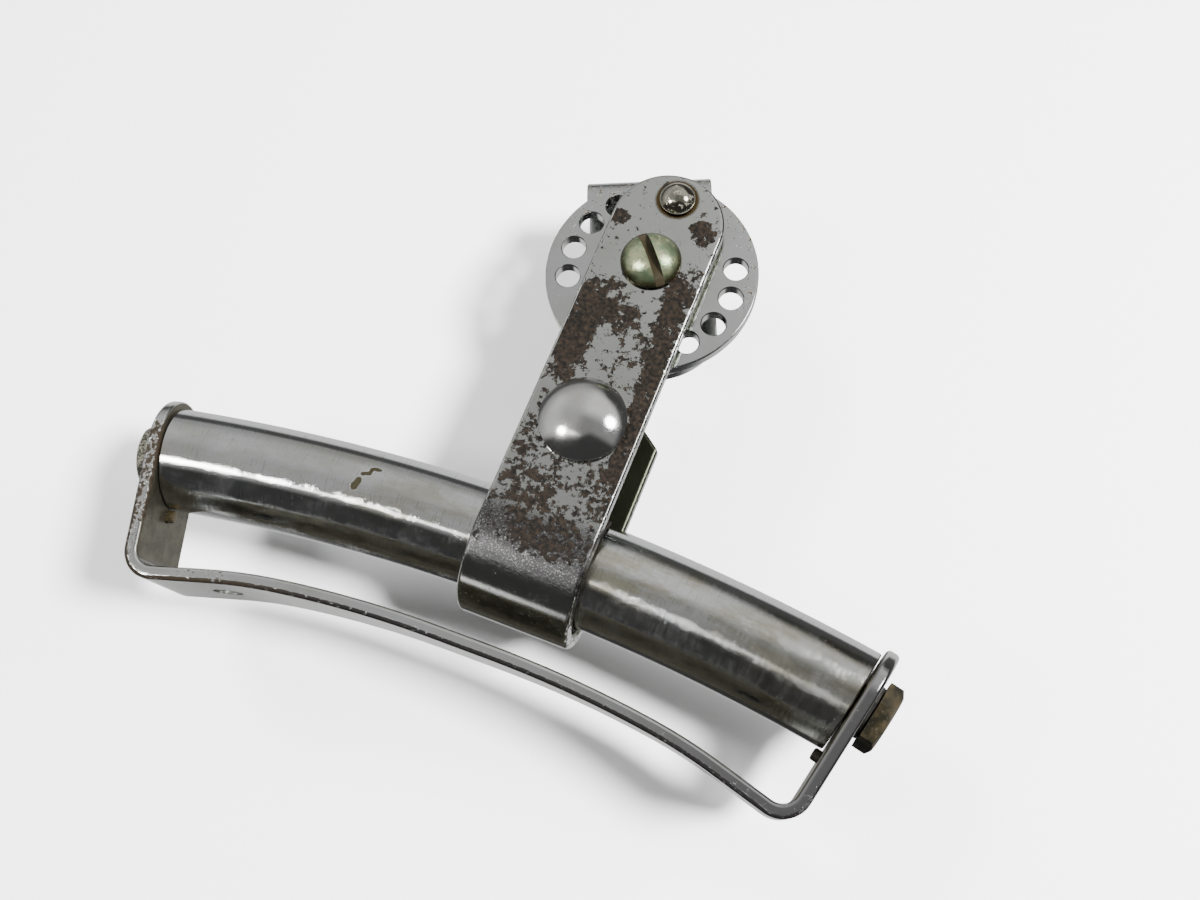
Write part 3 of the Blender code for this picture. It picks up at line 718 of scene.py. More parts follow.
def arm_finish(frame):
    """Chrome that has flaked off the front cheek in ragged dark brown patches, with painted shade
    on the faces that look inwards and on the fold.
    """
    s = Surface("arm_chrome", frame=frame)
    x, y, z = s.split(s.mm)
    ny, nz = s.split(s.normal)[1:]
    flat = s.join(x, y, 0.0)
    bias = s.plus(*[s.spot(flat, (x_at, y_at, 0), (half_x, half_y, 9), strength)
                    for x_at, y_at, half_x, half_y, strength in FLAKED])
    torn = s.noise(s.mm, 0.44, 12.0, 0.70)
    ragged = s.noise(s.vector("ADD", s.mm, (31.0, 7.0, 3.0)), 0.85, 9.0, 0.75)
    field = s.plus(s.times(torn, 0.85), s.times(ragged, 0.65))
    field = s.plus(s.times(s.math("SUBTRACT", field, 0.75), 1.3), bias)
    front = s.ramp(nz, 0.80, 0.93)
    flake = s.times(s.ramp(field, 0.122, 0.128), s.times(front, s.ramp(z, 7.0, 9.0)))
    worn = s.ramp(s.noise(s.mm, 1.2, 6.0, 0.72), 0.55, 0.58)
    edge_wear = s.times(s.ramp(s.magnitude(x), 10.0, 10.45), worn)
    bare = s.math("MAXIMUM", flake, s.math("MAXIMUM", edge_wear, pits(s, 0.035, 0.42)))
    # painted shade: faces that look inwards, between the cheeks and round the tube, get a dark
    # colour as their shade
    toward_middle = s.times(nz, s.math("SIGN", z))
    loop_side = s.times(ny, s.ramp(y, -2.0, -6.0, 0.0, -1.0))
    outward = s.plus(toward_middle, loop_side)
    inside = s.ramp(outward, -0.2, -0.5, 0.0, 1.0)
    grain = s.noise(s.mm, 1.4, 6.0, 0.80)
    rust = s.blend(s.ramp(grain, 0.40, 0.66), FLAKE_DARK, FLAKE_LIGHT)
    cloud = s.noise(s.mm, 0.15, 3.0, 0.6)
    plated = s.blend(s.ramp(cloud, 0.4, 0.8, 0.0, 0.5), ARM_CHROME, ARM_HAZE)
    color = s.blend(inside, plated, ARM_INSIDE_SHADE)
    lines = s.streaks(s.mm, (0.35, 7.0, 7.0))
    roughness = s.level(inside, s.ramp(lines, 0.4, 0.7, 0.09, 0.17), 0.30)
    sparkle = s.noise(s.mm, 3.2, 5.0, 0.75)
    near_fold = s.times(s.ramp(y, 6.0, 1.5), s.ramp(y, -9.0, -5.0))
    roughness = s.plus(roughness, s.times(near_fold, 0.22))
    # painted shade: the fold is darkened, its sparkle spots left bright, over its real frosted
    # roughness
    fold_shade = s.times(near_fold, s.ramp(sparkle, 0.54, 0.62, 1.0, 0.0))
    color = s.blend(fold_shade, color, FROST_SHADE)
    from_pin = s.vector("LENGTH", s.join(x, s.math("SUBTRACT", y, PIN_U / MM), 0.0))
    grime = s.ramp(s.plus(from_pin, sparkle), 4.2, 4.9, 1.0, 0.0)
    color = s.blend(s.times(grime, front), color, PIN_GRIME)
    relief = s.plus(s.times(s.noise(s.mm, 1.3, 4.0, 0.6), 0.22), s.times(lines, 0.05),
                    s.times(sparkle, near_fold, 0.9))
    return plating(s, color, roughness, bare, rust, relief, 0.045)


# the nick on the tube, in mm: along, round, half width, half height
NICK = (
    (-28.4, 14.5, 0.9, 1.1), (-28.0, 13.4, 0.8, 0.9), (-27.7, 11.9, 0.6, 0.5),
    (-26.9, 11.6, 0.9, 0.5), (-26.6, 10.9, 0.5, 0.7), (-25.7, 10.3, 1.2, 0.5))


def tube_finish():
    """Polished tube with hair scratches round it, a warm haze and one brown nick."""
    s = Surface("tube_chrome")
    x, y, z = s.split(s.mm)
    centre_y = (RAIL_R - RAIL_Y) / MM
    shifted = s.plus(y, centre_y)
    along = s.times(s.math("ARCTAN2", x, shifted), RAIL_R / MM)
    radius = s.vector("LENGTH", s.join(x, shifted, 0.0))
    out = s.math("SUBTRACT", radius, RAIL_R / MM)
    arc = s.times(s.math("ARCTAN2", z, out), TUBE_R / MM)
    surface = s.join(along, arc, 0.0)
    lines = s.streaks(surface, (2.6, 0.22, 1), 6.0, 0.8)
    brushed = s.streaks(surface, (0.16, 0.30, 1), 4.0, 0.65)
    stain = s.streaks(surface, (0.07, 0.20, 1), 5.0, 0.65)
    right = s.ramp(x, 5.0, 30.0, 0.0, 0.10)
    fuzz = s.times(s.ramp(lines, 0.42, 0.68), s.ramp(s.plus(brushed, right), 0.42, 0.66))
    fuzz = s.times(fuzz, s.ramp(arc, 6.5, 9.5))
    top_side = s.times(s.ramp(arc, 17.0, 21.0, 1.0, 0.15), s.ramp(arc, 6.5, 9.5))
    clean_end = s.times(top_side, s.ramp(x, -50.0, 15.0, 0.4, 1.0))
    haze = s.times(s.ramp(stain, 0.40, 0.62), clean_end)
    plated = s.blend(haze, TUBE_CHROME, TUBE_HAZE)
    worn_end = s.times(s.ramp(x, 20.0, 58.0, 0.0, 0.55), s.ramp(arc, 6.0, 8.5))
    plated = s.blend(worn_end, plated, TUBE_WORN)
    plated = s.blend(s.ramp(lines, 0.53, 0.66, 0.0, 0.6), plated, SCRATCH)
    mark = s.plus(*[s.spot(surface, (x_at, y_at, 0), (half_x, half_y, 9), 0.45)
                    for x_at, y_at, half_x, half_y in NICK])
    worm = s.plus(s.times(s.noise(s.mm, 1.6, 4.0, 0.65), 0.4), mark)
    bare = s.math("MAXIMUM", pits(s, -0.02, 0.45), s.ramp(worm, 0.40, 0.44))
    roughness = s.plus(s.times(fuzz, 0.13), s.level(haze, 0.05, 0.12))
    dents = s.noise(s.mm, 1.6, 4.0, 0.7)
    relief = s.plus(s.times(lines, s.level(fuzz, 0.3, 0.8)), s.times(dents, 0.28))
    rust = rust_grain(s, 2.5, NICK_DARK, NICK_BROWN)
    metallic = s.level(fuzz, 1.0, 0.98)
    return plating(s, plated, roughness, bare, rust, relief, 0.03, metallic)


def dome_finish(frame):
    """Polished head with fine crossing scratches and a soft greasy film."""
    s = Surface("dome_chrome", frame=frame)
    film = s.noise(s.mm, 0.25, 4.0, 0.6)
    fine = s.noise(s.mm, 5.0, 4.0, 0.75)
    sweep = s.streaks(s.mm, (5.0, 0.8, 0.8))
    color = s.blend(s.ramp(film, 0.4, 0.7, 0.0, 0.6), DOME_CHROME, DOME_FILM)
    roughness = s.plus(s.ramp(film, 0.35, 0.7, 0.10, 0.16), s.ramp(sweep, 0.5, 0.7, 0.0, 0.08))
    relief = s.plus(s.times(fine, 0.3), s.times(sweep, 0.4))
    rust = s.blend(fine, RUST_DARK, RUST_BROWN)
    return plating(s, color, roughness, pits(s, -0.06, 0.4), rust, relief, 0.012)


def plate_finish(frame):
    """Satin bright plate with small brown specks near its rim."""
    s = Surface("plate_chrome", frame=frame)
    x, y = s.split(s.mm)[:2]
    from_pivot = s.vector("LENGTH", s.join(x, s.math("SUBTRACT", y, PIVOT_U / MM), 0.0))
    near_rim = s.times(s.ramp(from_pivot, 12.0, 19.0, 0.0, 0.17), s.ramp(y, 46.0, 56.0))
    speck = s.plus(s.noise(s.mm, 1.1, 5.0, 0.68), near_rim)
    bare = s.math("MAXIMUM", s.ramp(speck, 0.745, 0.775), pits(s, -0.02))
    brushed = s.streaks(s.mm, (0.5, 6.0, 3.0))
    cloud = s.noise(s.mm, 0.14, 4.0, 0.6)
    color = s.blend(s.ramp(cloud, 0.4, 0.7, 0.0, 0.5), PLATE_CHROME, PLATE_HAZE)
    roughness = s.plus(s.ramp(brushed, 0.4, 0.7, 0.14, 0.24), s.ramp(cloud, 0.4, 0.7, 0.0, 0.04))
    rust = rust_grain(s, 3.0, SPECK_DARK, SPECK_BROWN)
    return plating(s, color, roughness, bare, rust, s.times(brushed, 0.2), 0.03)


def rusty_steel():
    """Dark olive rust with rubbed places, most of them at the left end."""
    s = Surface("rusty_steel")
    x = s.split(s.mm)["X"]
    broad = s.noise(s.mm, 0.35, 4.0, 0.6)
    grain = s.noise(s.mm, 3.0, 6.0, 0.78)
    color = s.blend(s.ramp(broad, 0.38, 0.62), OLIVE_DARK, OLIVE_LIGHT)
    color = s.blend(s.ramp(grain, 0.50, 0.72, 0.0, 0.8), color, SOOT)
    rubbed = s.ramp(s.plus(grain, s.ramp(x, -70.0, -60.0, 0.14, 0.0)), 0.62, 0.68)
    color = s.blend(rubbed, color, RUBBED)
    metallic = s.level(rubbed, s.ramp(broad, 0.3, 0.7, 0.35, 0.15), 0.95)
    return s.finish(color, s.level(grain, 0.30, 0.6), metallic, s.bump(grain, 0.10))


def zinc_finish(frame):
    """Greenish yellow tarnish, with painted shade round the rim and down in the slot."""
    s = Surface("aged_zinc", frame=frame)
    x, y, z = s.split(s.mm)
    up = s.math("SUBTRACT", y, PIVOT_U / MM)
    broad = s.noise(s.mm, 0.4, 4.0, 0.6)
    grain = s.noise(s.mm, 3.0, 5.0, 0.72)
    color = s.blend(s.ramp(broad, 0.35, 0.65), ZINC_GREEN, ZINC_YELLOW)
    reach = s.vector("LENGTH", s.join(x, up, 0.0))
    # painted shade: the head is darkened round its rim, with a ragged edge
    rim = s.ramp(s.plus(reach, s.times(grain, 1.8)), 5.2, 6.3)
    color = s.blend(rim, color, ZINC_RIM_SHADE)
    blot = s.ramp(grain, 0.56, 0.66, 0.0, 0.6)
    color = s.blend(blot, color, ZINC_BLOT)
    aside = s.plus(s.times(x, cos(SLOT_ANGLE)), s.times(up, sin(SLOT_ANGLE)))
    in_slot = s.math("LESS_THAN", s.magnitude(aside), SLOT_W / MM / 2 + 0.01)
    below_top = s.math("LESS_THAN", z, (ARM_FRONT + GAP / 2 + SLOT_FLOOR) / MM + 0.25)
    deep = s.times(in_slot, below_top)
    # painted shade: the floor of the slot is darkened as the shade in its recess
    color = s.blend(deep, color, SLOT_SHADE)
    roughness = s.level(deep, s.level(grain, 0.09, 0.24), 0.75)
    metallic = s.level(deep, s.level(grain, 0.98, 0.88), 0.1)
    return s.finish(color, roughness, metallic, s.bump(grain, 0.04))


def pin_finish(frame):
    """Worn plating mottled brown, with rust coloured grime at its foot."""
    s = Surface("pin_steel", frame=frame)
    z = s.split(s.mm)["Z"]
    broad = s.noise(s.mm, 0.75, 5.0, 0.65)
    grain = s.noise(s.mm, 4.0, 5.0, 0.7)
    foot = s.ramp(s.plus(z, s.times(grain, 0.8)), 15.0, 14.2)
    bare = s.math("MAXIMUM", s.ramp(broad, 0.60, 0.66), foot)
    mottled = s.blend(grain, MOTTLE_DARK, MOTTLE_LIGHT)
    rust = s.blend(foot, mottled, PIN_FOOT)
    color = s.blend(s.ramp(grain, 0.4, 0.7), PIN_LIGHT, PIN_BROWN)
    return plating(s, color, s.level(grain, 0.08, 0.18), bare, rust, s.times(grain, 0.1), 0.015)


def dark_steel():
    """Dull grey steel of the washers, plugs and nut."""
    s = Surface("dark_steel")
    grain = s.noise(s.mm, 1.5, 5.0, 0.7)
    color = s.blend(grain, STEEL_DARK, STEEL_LIGHT)
    return s.finish(color, s.level(grain, 0.35, 0.6), s.level(grain, 0.85, 1.0),
                    s.bump(grain, 0.03))


def fibre_finish():
    """Dark fibre liner with a fine grain."""
    s = Surface("fibre")
    grain = s.noise(s.mm, 4.0, 5.0, 0.7)
    color = s.blend(grain, FIBRE_DARK, FIBRE_LIGHT)
    return s.finish(color, s.level(grain, 0.7, 0.95), 0.0, s.bump(grain, 0.05))


# ---------------------------------------------------------------- rail

WORLD_AXES = (Vector((1, 0, 0)), Vector((0, 1, 0)), Vector((0, 0, 1)))
ARM_AXES = (Vector((0, 1, 0)), Vector((0, 0, 1)), Vector((1, 0, 0)))


def rail_point(angle):
    return Vector((RAIL_R * sin(angle), RAIL_Y - RAIL_R * (1 - cos(angle)), 0))


def ear_frame(side):
    return rail_point(RAIL_HALF_ANGLE * side), -EAR_LEAN if side > 0 else pi + EAR_LEAN


def foot_route():
    start = Vector((0, BAR_T / 2))
    bends = [(SEAT_HALF, 0.0), (SEAT_ARC, -SEAT_ARC / SEAT_R), (TAIL_ARC, -TAIL_ARC / TAIL_R)]
    at, total = route(start, 0.0, bends)
    tail, heading = at(total)
    ear_point, ear_turn = ear_frame(1)
    ear_mid = ear_point.xy + Vector((cos(ear_turn), sin(ear_turn))) * BAR_T / 2
    ear_heading = pi / 2 - EAR_LEAN
    tail_way = Vector((cos(heading), sin(heading)))
    ear_way = Vector((cos(ear_heading), sin(ear_heading)))
    reach = ear_mid - tail
    cross = tail_way.x * ear_way.y - tail_way.y * ear_way.x
    to_corner = (reach.x * ear_way.y - reach.y * ear_way.x) / cross
    corner = tail + tail_way * to_corner
    turn = ear_heading - heading
    inset = CORNER_R * tan(turn / 2)
    ear_length = (ear_mid - corner).length - inset + EAR_TOP
    bends += [(to_corner - inset, 0.0), (CORNER_R * turn, turn), (ear_length, 0.0)]
    at, total = route(start, 0.0, bends)
    marks = [0.0]
    for length, _ in bends:
        marks.append(marks[-1] + length)
    return at, total, marks


def mirrored(at):
    def both(distance):
        point, heading = at(abs(distance))
        if distance < 0:
            return Vector((-point.x, point.y)), -heading
        return point, heading
    return both


def bracket_surface(material):
    at, total, marks = foot_route()
    right = [SEAT_HALF]
    for begin, end, count in zip(marks[1:], marks[2:], (24, 12, 6, 18)):
        right += spread(begin, end, count) + [end]
    right = [(s, BAR_HALF_W) for s in right] + round_end(total, BAR_HALF_W, BAR_HALF_W, -1)
    outline = [(-s, w) for s, w in reversed(right)] + right
    changes = []
    for side in (-1, 1):
        point, turn = ear_frame(side)
        square = place(point, (0, pi / 2, turn))
        down = Vector((-side * sin(EAR_LEAN), -cos(EAR_LEAN), 0)) * STUD_DROP
        changes.append(cut(hole_tool(BORE_R, 0, BAR_T, 0.2 * MM), square))
        changes.append(cut(cylinder(STUD_R + GAP / 2, -6 * MM, 6 * MM, 32),
                           place(point + down, (0, pi / 2, turn))))
        changes.append(cut(cylinder(FOOT_HOLE_R, -12 * MM, 12 * MM, 48),
                           place((side * FOOT_HOLE_X, 0, 0), (pi / 2, 0, -side * 0.25))))
    mesh = strap(outline, mirrored(at), BAR_T, STRAP_FILLET, WORLD_AXES, 7)
    piece("bracket_surface", mesh, IDENTITY, "rail", "rail_bracket", material, changes)


def tube_surface(material):
    end = RAIL_HALF_ANGLE - 1.2 * GAP / RAIL_R
    skew = tan(EAR_LEAN - RAIL_HALF_ANGLE)
    stations = 72
    sides = 96
    chamfer = 0.25 * MM
    bm = bmesh.new()
    inner = TUBE_R - TUBE_WALL
    walls = [(inner, 0.0), (TUBE_R - chamfer, 0.0), (TUBE_R, chamfer)]
    sections = [(radius, -1.0, inset) for radius, inset in walls]
    sections += [(TUBE_R, 2 * k / stations - 1, 0.0) for k in range(1, stations)]
    sections += [(radius, 1.0, inset) for radius, inset in reversed(walls)]
    sections += [(inner, 1 - 2 * k / stations, 0.0) for k in range(1, stations)]
    rows = []
    for radius, share, inset in sections:
        angle = (end - inset / RAIL_R) * share
        centre = rail_point(angle)
        radial = Vector((sin(angle), cos(angle), 0))
        tangent = Vector((cos(angle), -sin(angle), 0))
        row = []
        for j in range(sides):
            turn = 2 * pi * j / sides
            out = radius * cos(turn)
            spot = centre + radial * out + tangent * (out * skew * share)
            row.append(bm.verts.new(spot + Vector((0, 0, radius * sin(turn)))))
        rows.append(row)
    skin(bm, rows + rows[:1], capped=False)
    piece("tube_surface", bm, IDENTITY, "rail", "rail_tube", material)


def hex_head():
    """Hexagon prism, and the cone that rounds off its corners."""
    chamfer = 0.7 * MM
    bm = stack([(polygon(6, HEX_AF), 0), (polygon(6, HEX_AF), HEX_H)])
    wide = HEX_AF / 2 / cos(pi / 6) + 2 * MM
    cone = lathe([(0, -1 * MM), (wide, -1 * MM), (wide, HEX_H - chamfer - 1.2 * MM),
                  (HEX_AF / 2 - 0.3 * MM, HEX_H + 0.02 * MM), (0, HEX_H + 0.02 * MM)], 96)
    return bm, cone


def split_ring():
    bm = bmesh.new()
    slit = radians(8)
    count = 72
    hole = BOLT_R + 0.35 * MM
    edge = 0.1 * MM
    corners = [(hole, edge), (hole + edge, 0), (LOCK_R - edge, 0), (LOCK_R, edge),
               (LOCK_R, LOCK_T - edge), (LOCK_R - edge, LOCK_T), (hole + edge, LOCK_T),
               (hole, LOCK_T - edge)]
    rows = []
    for k in range(count + 1):
        angle = slit + (2 * pi - 2 * slit) * k / count
        rows.append([bm.verts.new((r * cos(angle), r * sin(angle), z)) for r, z in corners])
    return skin(bm, rows)


def end_hardware(side, tag, turned, washer_t, rust, dark):
    point, turn = ear_frame(side)
    ear = place(point, (0, pi / 2, turn))
    seat = BAR_T + GAP
    if washer_t:
        piece("lock_ring_" + tag, split_ring(), ear @ place((0, 0, BAR_T + GAP / 2)), "rail",
              "lock_washer_" + tag, dark)
        seat += washer_t
    head, cone = hex_head()
    shank = threaded_rod(BOLT_R, 1 * MM - seat - PLUG_L, 1 * MM, -BAR_T)
    piece("hex_bolt_" + tag, head, ear @ place((0, 0, seat), (0, 0, turned)), "rail",
          "end_bolt_" + tag, rust, [keep(cone), add(shank)])
    plug = washer(BORE_R, PLUG_R, PLUG_L)
    inside = ear @ place((0, 0, -PLUG_L - 0.6 * MM))
    piece("plug_" + tag, plug, inside, "rail", "tube_plug_" + tag, dark)
    stud = lathe([(0, -STUD_OUT), (STUD_R * 0.6, -STUD_OUT), (STUD_R * 0.9, 0.12 * MM - STUD_OUT),
                  (STUD_R, 0.35 * MM - STUD_OUT), (STUD_R, BAR_T - 0.3 * MM),
                  (STUD_R * 0.85, BAR_T - 0.05 * MM), (0, BAR_T)], 40)
    piece("stud_" + tag, stud, ear @ place((0, -side * STUD_DROP, 0)), "rail",
          "locating_stud_" + tag, rust)


# ---------------------------------------------------------------- clamp and arm

def liner_surface(arm, material):
    radius = TUBE_R + GAP + LINER_T / 2
    mouth = LINER_MOUTH / 2
    wrap = 2 * pi - LINER_MOUTH
    start = (radius * cos(mouth), radius * sin(mouth))
    at, total = route(start, mouth + pi / 2, [(wrap * radius, wrap)])
    outline = [(s, LINER_HALF_W) for s in [0.0] + spread(0.0, total, 96) + [total]]
    piece("liner_surface", strap(outline, at, LINER_T, 0.15 * MM, ARM_AXES, 2), arm, "clamp_liner",
          "clamp_liner", material)


def arm_surface(arm, material):
    radius = LOOP_IN + ARM_T / 2
    loop = pi * radius
    at, total = route((ARM_LEN, radius), pi, [(ARM_LEN, 0.0), (loop, pi), (CHEEK_LEN, 0.0)])
    outline = round_end(0.0, ARM_HALF_W, ARM_HALF_W, 1, 36)
    outline += [(s, ARM_HALF_W) for s in spread(ARM_HALF_W, ARM_LEN, 8)]
    outline += [(s, ARM_HALF_W) for s in [ARM_LEN] + spread(ARM_LEN, ARM_LEN + loop, 72)]
    outline += [(ARM_LEN + loop, ARM_HALF_W), (total - 5.2 * MM, ARM_HALF_W)]
    outline += [(total - 4.6 * MM, ARM_HALF_W - 0.5 * MM), (total - 0.5 * MM, 4.6 * MM)]
    outline += [(total, 3.6 * MM)]
    neck = polygon(4, 2 * BOLT_R + 2 * GAP, pi / 4)
    back = ARM_FRONT - ARM_T
    changes = [
        cut(stack([(neck, 0), (neck, 20 * MM)]), place((0, CLAMP_BOLT_U, 0))),
        cut(hole_tool(BORE_R, -ARM_FRONT, -back, 0.25 * MM), place((0, CLAMP_BOLT_U, 0))),
        cut(hole_tool(BORE_R, back, ARM_FRONT, 0.2 * MM), place((0, PIVOT_U, 0))),
        cut(hole_tool(PIN_R + GAP, back, ARM_FRONT, 0.15 * MM), place((0, PIN_U, 0)))]
    mesh = strap(outline, at, ARM_T, STRAP_FILLET, ARM_AXES, 7)
    piece("arm_surface", mesh, arm, "clamp_arm", "clamp_arm", material, changes)


def clamp_bolt_surface(arm, material):
    neck = polygon(4, 2 * BOLT_R, pi / 4)
    changes = [add(stack([(neck, -3.4 * MM), (neck, 0.4 * MM)])),
               add(threaded_rod(BOLT_R, -CLAMP_BOLT_L, 0.3 * MM, -12 * MM))]
    piece("dome_bolt", lathe([(0, 0)] + dome(DOME_R, DOME_H, 28), 128),
          arm @ place((0, CLAMP_BOLT_U, ARM_FRONT + GAP)), "clamp_arm", "clamp_bolt", material,
          changes)


def wing_outline():
    lobe = 2.9 * MM
    centre = (8.0 * MM, 6.4 * MM)
    right = [(0, 1.0 * MM), (5.0 * MM, 1.0 * MM)]
    for k in range(41):
        angle = radians(-50 + 5 * k)
        right.append((centre[0] + lobe * cos(angle), centre[1] + lobe * sin(angle)))
    right.append((4.2 * MM, 4.4 * MM))
    left = [(-x, z) for x, z in reversed(right) if x > 0]
    return right + [(0, 4.2 * MM)] + left


def wing_nut_surface(arm, material):
    hub = lathe([(BORE_R, 0.2 * MM), (BORE_R + 0.2 * MM, 0), (5.6 * MM, 0), (5.8 * MM, 0.08 * MM),
                 (5.9 * MM, 0.3 * MM), (4.75 * MM, 6.1 * MM), (4.6 * MM, 6.5 * MM),
                 (4.35 * MM, 6.6 * MM), (BORE_R + 0.2 * MM, 6.6 * MM), (BORE_R, 6.4 * MM)],
                96, ring=True)
    low = -(ARM_FRONT + GAP + WASHER_T + GAP)
    plate = wing_outline()
    middle = sum((Vector(p) for p in plate), Vector((0, 0))) / len(plate)

    def shrunk(amount):
        return [tuple(Vector(p) + (middle - Vector(p)).normalized() * amount) for p in plate]

    wings = stack([(shrunk(0.3 * MM), -1.1 * MM), (plate, -0.8 * MM), (plate, 0.8 * MM),
                   (shrunk(0.3 * MM), 1.1 * MM)])
    changes = [add(wings, place((0, 0, 0), (pi / 2, 0, 0))),
               cut(cylinder(BORE_R, -5 * MM, 15 * MM))]
    piece("wing_nut_surface", hub, arm @ place((0, CLAMP_BOLT_U, low), (pi, 0, pi / 2)), "wing_nut",
          "wing_nut", material, changes)
    ring = washer(BORE_R, WASHER_R, WASHER_T)
    piece("washer_surface", ring, arm @ place((0, CLAMP_BOLT_U, -(ARM_FRONT + GAP + WASHER_T))),
          "clamp_washer", "clamp_washer", material)


def pin_surface(arm, material):
    nose = ARM_FRONT + GAP / 2 - PLATE_FRONT - GAP
    profile = [(0, -nose), (PIN_R - 0.4 * MM, -nose), (PIN_R, 0.5 * MM - nose), (PIN_R, 0)]
    piece("pin_surface", lathe(profile + dome(PIN_HEAD_R, PIN_HEAD_H, 16), 80),
          arm @ place((0, PIN_U, ARM_FRONT + GAP / 2)), "clamp_arm", "index_pin", material)


def pivot_surfaces(arm, zinc, dark):
    seat = ARM_FRONT + GAP / 2
    end = PLATE_FRONT - PLATE_T - GAP - NUT_T
    half = SLOT_W / 2
    box = [(-half, -8 * MM), (half, -8 * MM), (half, 8 * MM), (-half, 8 * MM)]
    slot = stack([(box, SLOT_FLOOR), (box, 8 * MM)])
    shank = threaded_rod(BOLT_R, end - seat, 0.5 * MM, 1 * MM - ARM_T)
    changes = [cut(slot, place((0, 0, 0), (0, 0, SLOT_ANGLE))), add(shank)]
    piece("screw_surface", lathe([(0, 0)] + dome(SCREW_HEAD_R, SCREW_HEAD_H, 24), 112),
          arm @ place((0, PIVOT_U, seat)), "pivot_screw", "pivot_screw", zinc, changes)
    piece("friction_ring", washer(BORE_R, 7.4 * MM, FRICTION_T),
          arm @ place((0, PIVOT_U, PLATE_FRONT + GAP)), "clamp_arm", "friction_washer", dark)
    edge = 0.4 * MM
    square = polygon(4, NUT_AF, pi / 4)
    crown = polygon(4, NUT_AF - 2 * edge, pi / 4)
    nut = stack([(crown, 0), (square, edge), (square, NUT_T - edge), (crown, NUT_T)])
    piece("nut_surface", nut, arm @ place((0, PIVOT_U, end), (0, 0, radians(12))), "pivot_nut",
          "pivot_nut", dark, [cut(hole_tool(BORE_R, 0, NUT_T, 0.3 * MM))])


def plate_surface(arm, material):
    mid = PLATE_FRONT - PLATE_T / 2
    fold_r = (PLATE_GAP + PLATE_T) / 2
    front = PLATE_R + FOLD_U
    fold = pi * fold_r
    at, total = route((-PLATE_R, 0), 0.0, [(front, 0.0), (fold, -pi), (FOLD_U + LEG_END, 0.0)])
    join = PLATE_R + sqrt(PLATE_R ** 2 - TAB_HALF_W ** 2)
    outline = round_end(0.0, PLATE_R, PLATE_R, 1, 48)
    widest = atan2(TAB_HALF_W, join - PLATE_R)
    for k in range(1, 27):
        angle = pi / 2 + (pi / 2 - widest) * k / 26
        outline.append((PLATE_R - PLATE_R * cos(angle), PLATE_R * sin(angle)))
    outline += [(s, TAB_HALF_W) for s in [front] + spread(front, front + fold, 40) + [front + fold]]
    outline += [(s, TAB_HALF_W) for s in spread(front + fold, total - LEG_END_R, 4)]
    outline += round_end(total, LEG_END_R, TAB_HALF_W, -1, 30)
    half = PLATE_T / 2
    changes = [cut(hole_tool(BORE_R, -half, half, 0.2 * MM))]
    for k in range(RING_COUNT):
        if k in RING_BLANKS:
            continue
        angle = NOTCH * k
        changes.append(cut(hole_tool(RING_HOLE_R, -half, half, 0.18 * MM, 48),
                           place((RING_R * sin(angle), RING_R * cos(angle), 0))))
    back = -half - PLATE_GAP - PLATE_T
    for x, y in TOM_HOLES:
        changes.append(cut(hole_tool(TOM_HOLE_R, back, back + PLATE_T, 0.2 * MM, 48),
                           place((x * MM, y * MM, 0))))
    seat = arm @ place((0, PIVOT_U, mid), (0, 0, NOTCH))
    piece("plate_surface", strap(outline, at, PLATE_T, 0.3 * MM, ARM_AXES, 4), seat, "tom_bracket",
          "tom_bracket", material, changes)


# ---------------------------------------------------------------- studio

def table_top(height):
    bm = bmesh.new()
    bmesh.ops.create_grid(bm, x_segments=2, y_segments=2, size=TABLE_HALF)
    floor = raw_object("table", bm, Matrix.Translation((*TABLE_MIDDLE, height)))
    s = Surface("white_table", 0.55, 0.0)
    s.shader.inputs["Base Color"].default_value = (0.70, 0.70, 0.705, 1)
    floor.data.materials.append(s.material)
    floor.visible_glossy = False


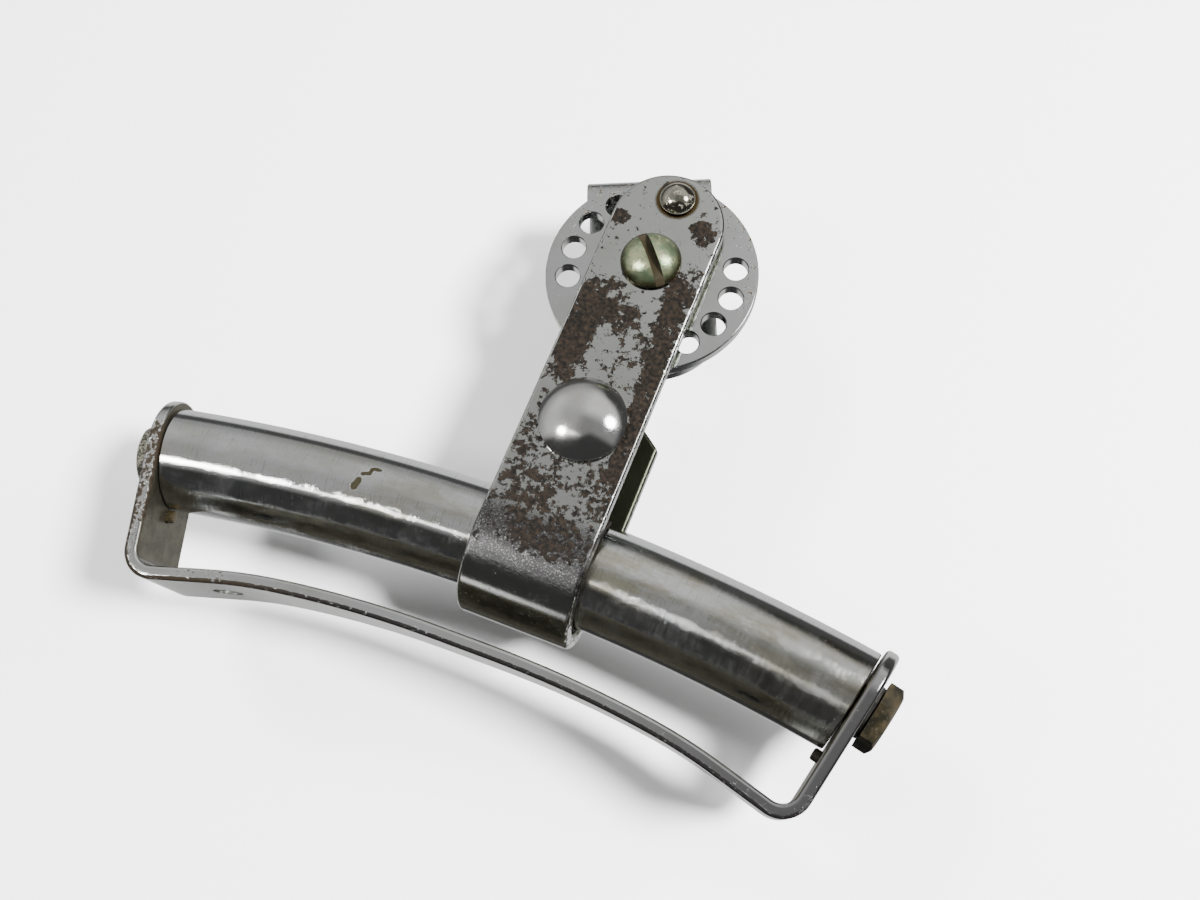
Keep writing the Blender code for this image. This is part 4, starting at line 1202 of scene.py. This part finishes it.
def surroundings():
    """Grey studio by direction: bright strip overhead, dark where the photographer stands."""
    world = bpy.data.worlds.new("room")
    bpy.context.scene.world = world
    world.use_nodes = True
    n = Nodes(world.node_tree)
    x, y, z = n.split(n.node("ShaderNodeTexCoord").outputs["Generated"])
    overhead = n.ramp(x, -0.35, 0.05, 0.46, 0.27)
    window = n.times(n.ramp(y, 0.2, 0.62), n.ramp(x, -0.35, 0.05, 0.14, 0.60))
    left_wall = n.ramp(x, -0.9, -0.55, 0.25, 0.0)
    above = n.plus(overhead, window, left_wall)
    far_edge = n.ramp(x, -0.45, 0.10, 0.38, 0.06)
    sky = n.ramp(z, n.ramp(x, -0.05, 0.30, 0.0, 0.22), 0.42, far_edge, above)
    shifted = n.math("SUBTRACT", y, n.ramp(x, -0.1, 0.35, 0.0, 0.30))
    sky = n.ramp(shifted, -0.57, -0.36, 0.05, sky)
    strip = n.times(n.ramp(y, -0.40, -0.33), n.ramp(y, -0.33, -0.26, 1.0, 0.0),
                    n.ramp(x, -0.28, -0.06, 4.2, 0.9), n.ramp(x, -0.04, 0.06, 1.0, 0.0),
                    n.ramp(z, 0.6, 0.75))
    table = n.ramp(y, -0.32, -0.04, n.ramp(x, -0.42, -0.26, 0.9, 0.05), 0.9)
    sunk = n.plus(z, n.ramp(x, -0.05, 0.30, 0.0, 0.13))
    below = n.times(n.ramp(sunk, -0.46, -0.28, 1.0, 0.10), table)
    edge = n.times(n.ramp(z, 0.02, 0.10), n.ramp(z, 0.12, 0.22, 1.0, 0.0),
                   n.ramp(y, -0.93, -0.80, 1.0, 0.0), n.ramp(x, -0.27, -0.12, 1.7, 0.12))
    glow = n.plus(strip, edge)
    lower = n.ramp(z, -0.12, 0.0, below, n.plus(sky, glow))
    background = n.tree.nodes["Background"]
    seen = n.node("ShaderNodeLightPath").outputs["Is Camera Ray"]
    n.feed(background.inputs["Strength"], n.level(seen, lower, BACKDROP_STRENGTH))
    background.inputs["Color"].default_value = (1.0, 1.0, 0.99, 1)


# name, direction and distance from the middle, size, power in watts, whether the metal shows it
LAMPS = (
    ("lamp_left", (-0.55, -0.30, 0.78), 0.55, 0.10, 1.5, True),
    ("lamp_right", (0.68, 0.42, 0.60), 0.55, 0.19, 1.7, True),
    ("key_box", (0.56, 0.12, 0.82), 0.85, 0.18, 50.0, False),
    ("side_box", (-0.56, 0.34, 0.76), 0.85, 0.22, 9.5, False),
    ("top_fill", (0.0, 0.0, 1.0), 0.9, 1.3, 1.0, False))


def lamps():
    """Two small lamps that show in the metal, and broad ones that only light and shade."""
    middle = Vector((*TABLE_MIDDLE, 0))
    for name, direction, distance, size, power, in_metal in LAMPS:
        spot = middle + Vector(direction) * distance
        data = bpy.data.lights.new(name, "AREA")
        data.shape = "DISK"
        data.size = size
        data.energy = power
        lamp = bpy.data.objects.new(name, data)
        bpy.context.scene.collection.objects.link(lamp)
        turn = (middle - spot).to_track_quat("-Z", "Y")
        lamp.matrix_world = Matrix.Translation(spot) @ turn.to_matrix().to_4x4()
        lamp.visible_glossy = in_metal


def camera():
    data = bpy.data.cameras.new("camera")
    data.lens = CAMERA_LENS
    data.sensor_width = 36.0
    data.clip_start = 0.01
    cam = bpy.data.objects.new("camera", data)
    bpy.context.scene.collection.objects.link(cam)
    cam.matrix_world = place(CAMERA_PLACE, CAMERA_TURN)
    bpy.context.scene.camera = cam


def build():
    clamp = place(rail_point(CLAMP_ANGLE), (0, 0, -CLAMP_ANGLE))
    arm = clamp @ place((0, 0, 0), (ARM_PITCH, 0, 0))
    rust = rusty_steel()
    dark = dark_steel()
    bracket_surface(bracket_finish())
    tube_surface(tube_finish())
    end_hardware(-1, "left", HEX_TURN_LEFT, 0, rust, dark)
    end_hardware(1, "right", HEX_TURN_RIGHT, LOCK_T, rust, dark)
    liner_surface(arm, fibre_finish())
    arm_surface(arm, arm_finish(arm))
    clamp_bolt_surface(arm, dome_finish(arm))
    wing_nut_surface(arm, nut_finish(arm))
    pin_surface(arm, pin_finish(arm))
    pivot_surfaces(arm, zinc_finish(arm), dark)
    plate_surface(arm, plate_finish(arm))


build()
low_corner, high_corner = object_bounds()
table_top(low_corner.z - 0.05 * MM)
surroundings()
camera()
lamps()
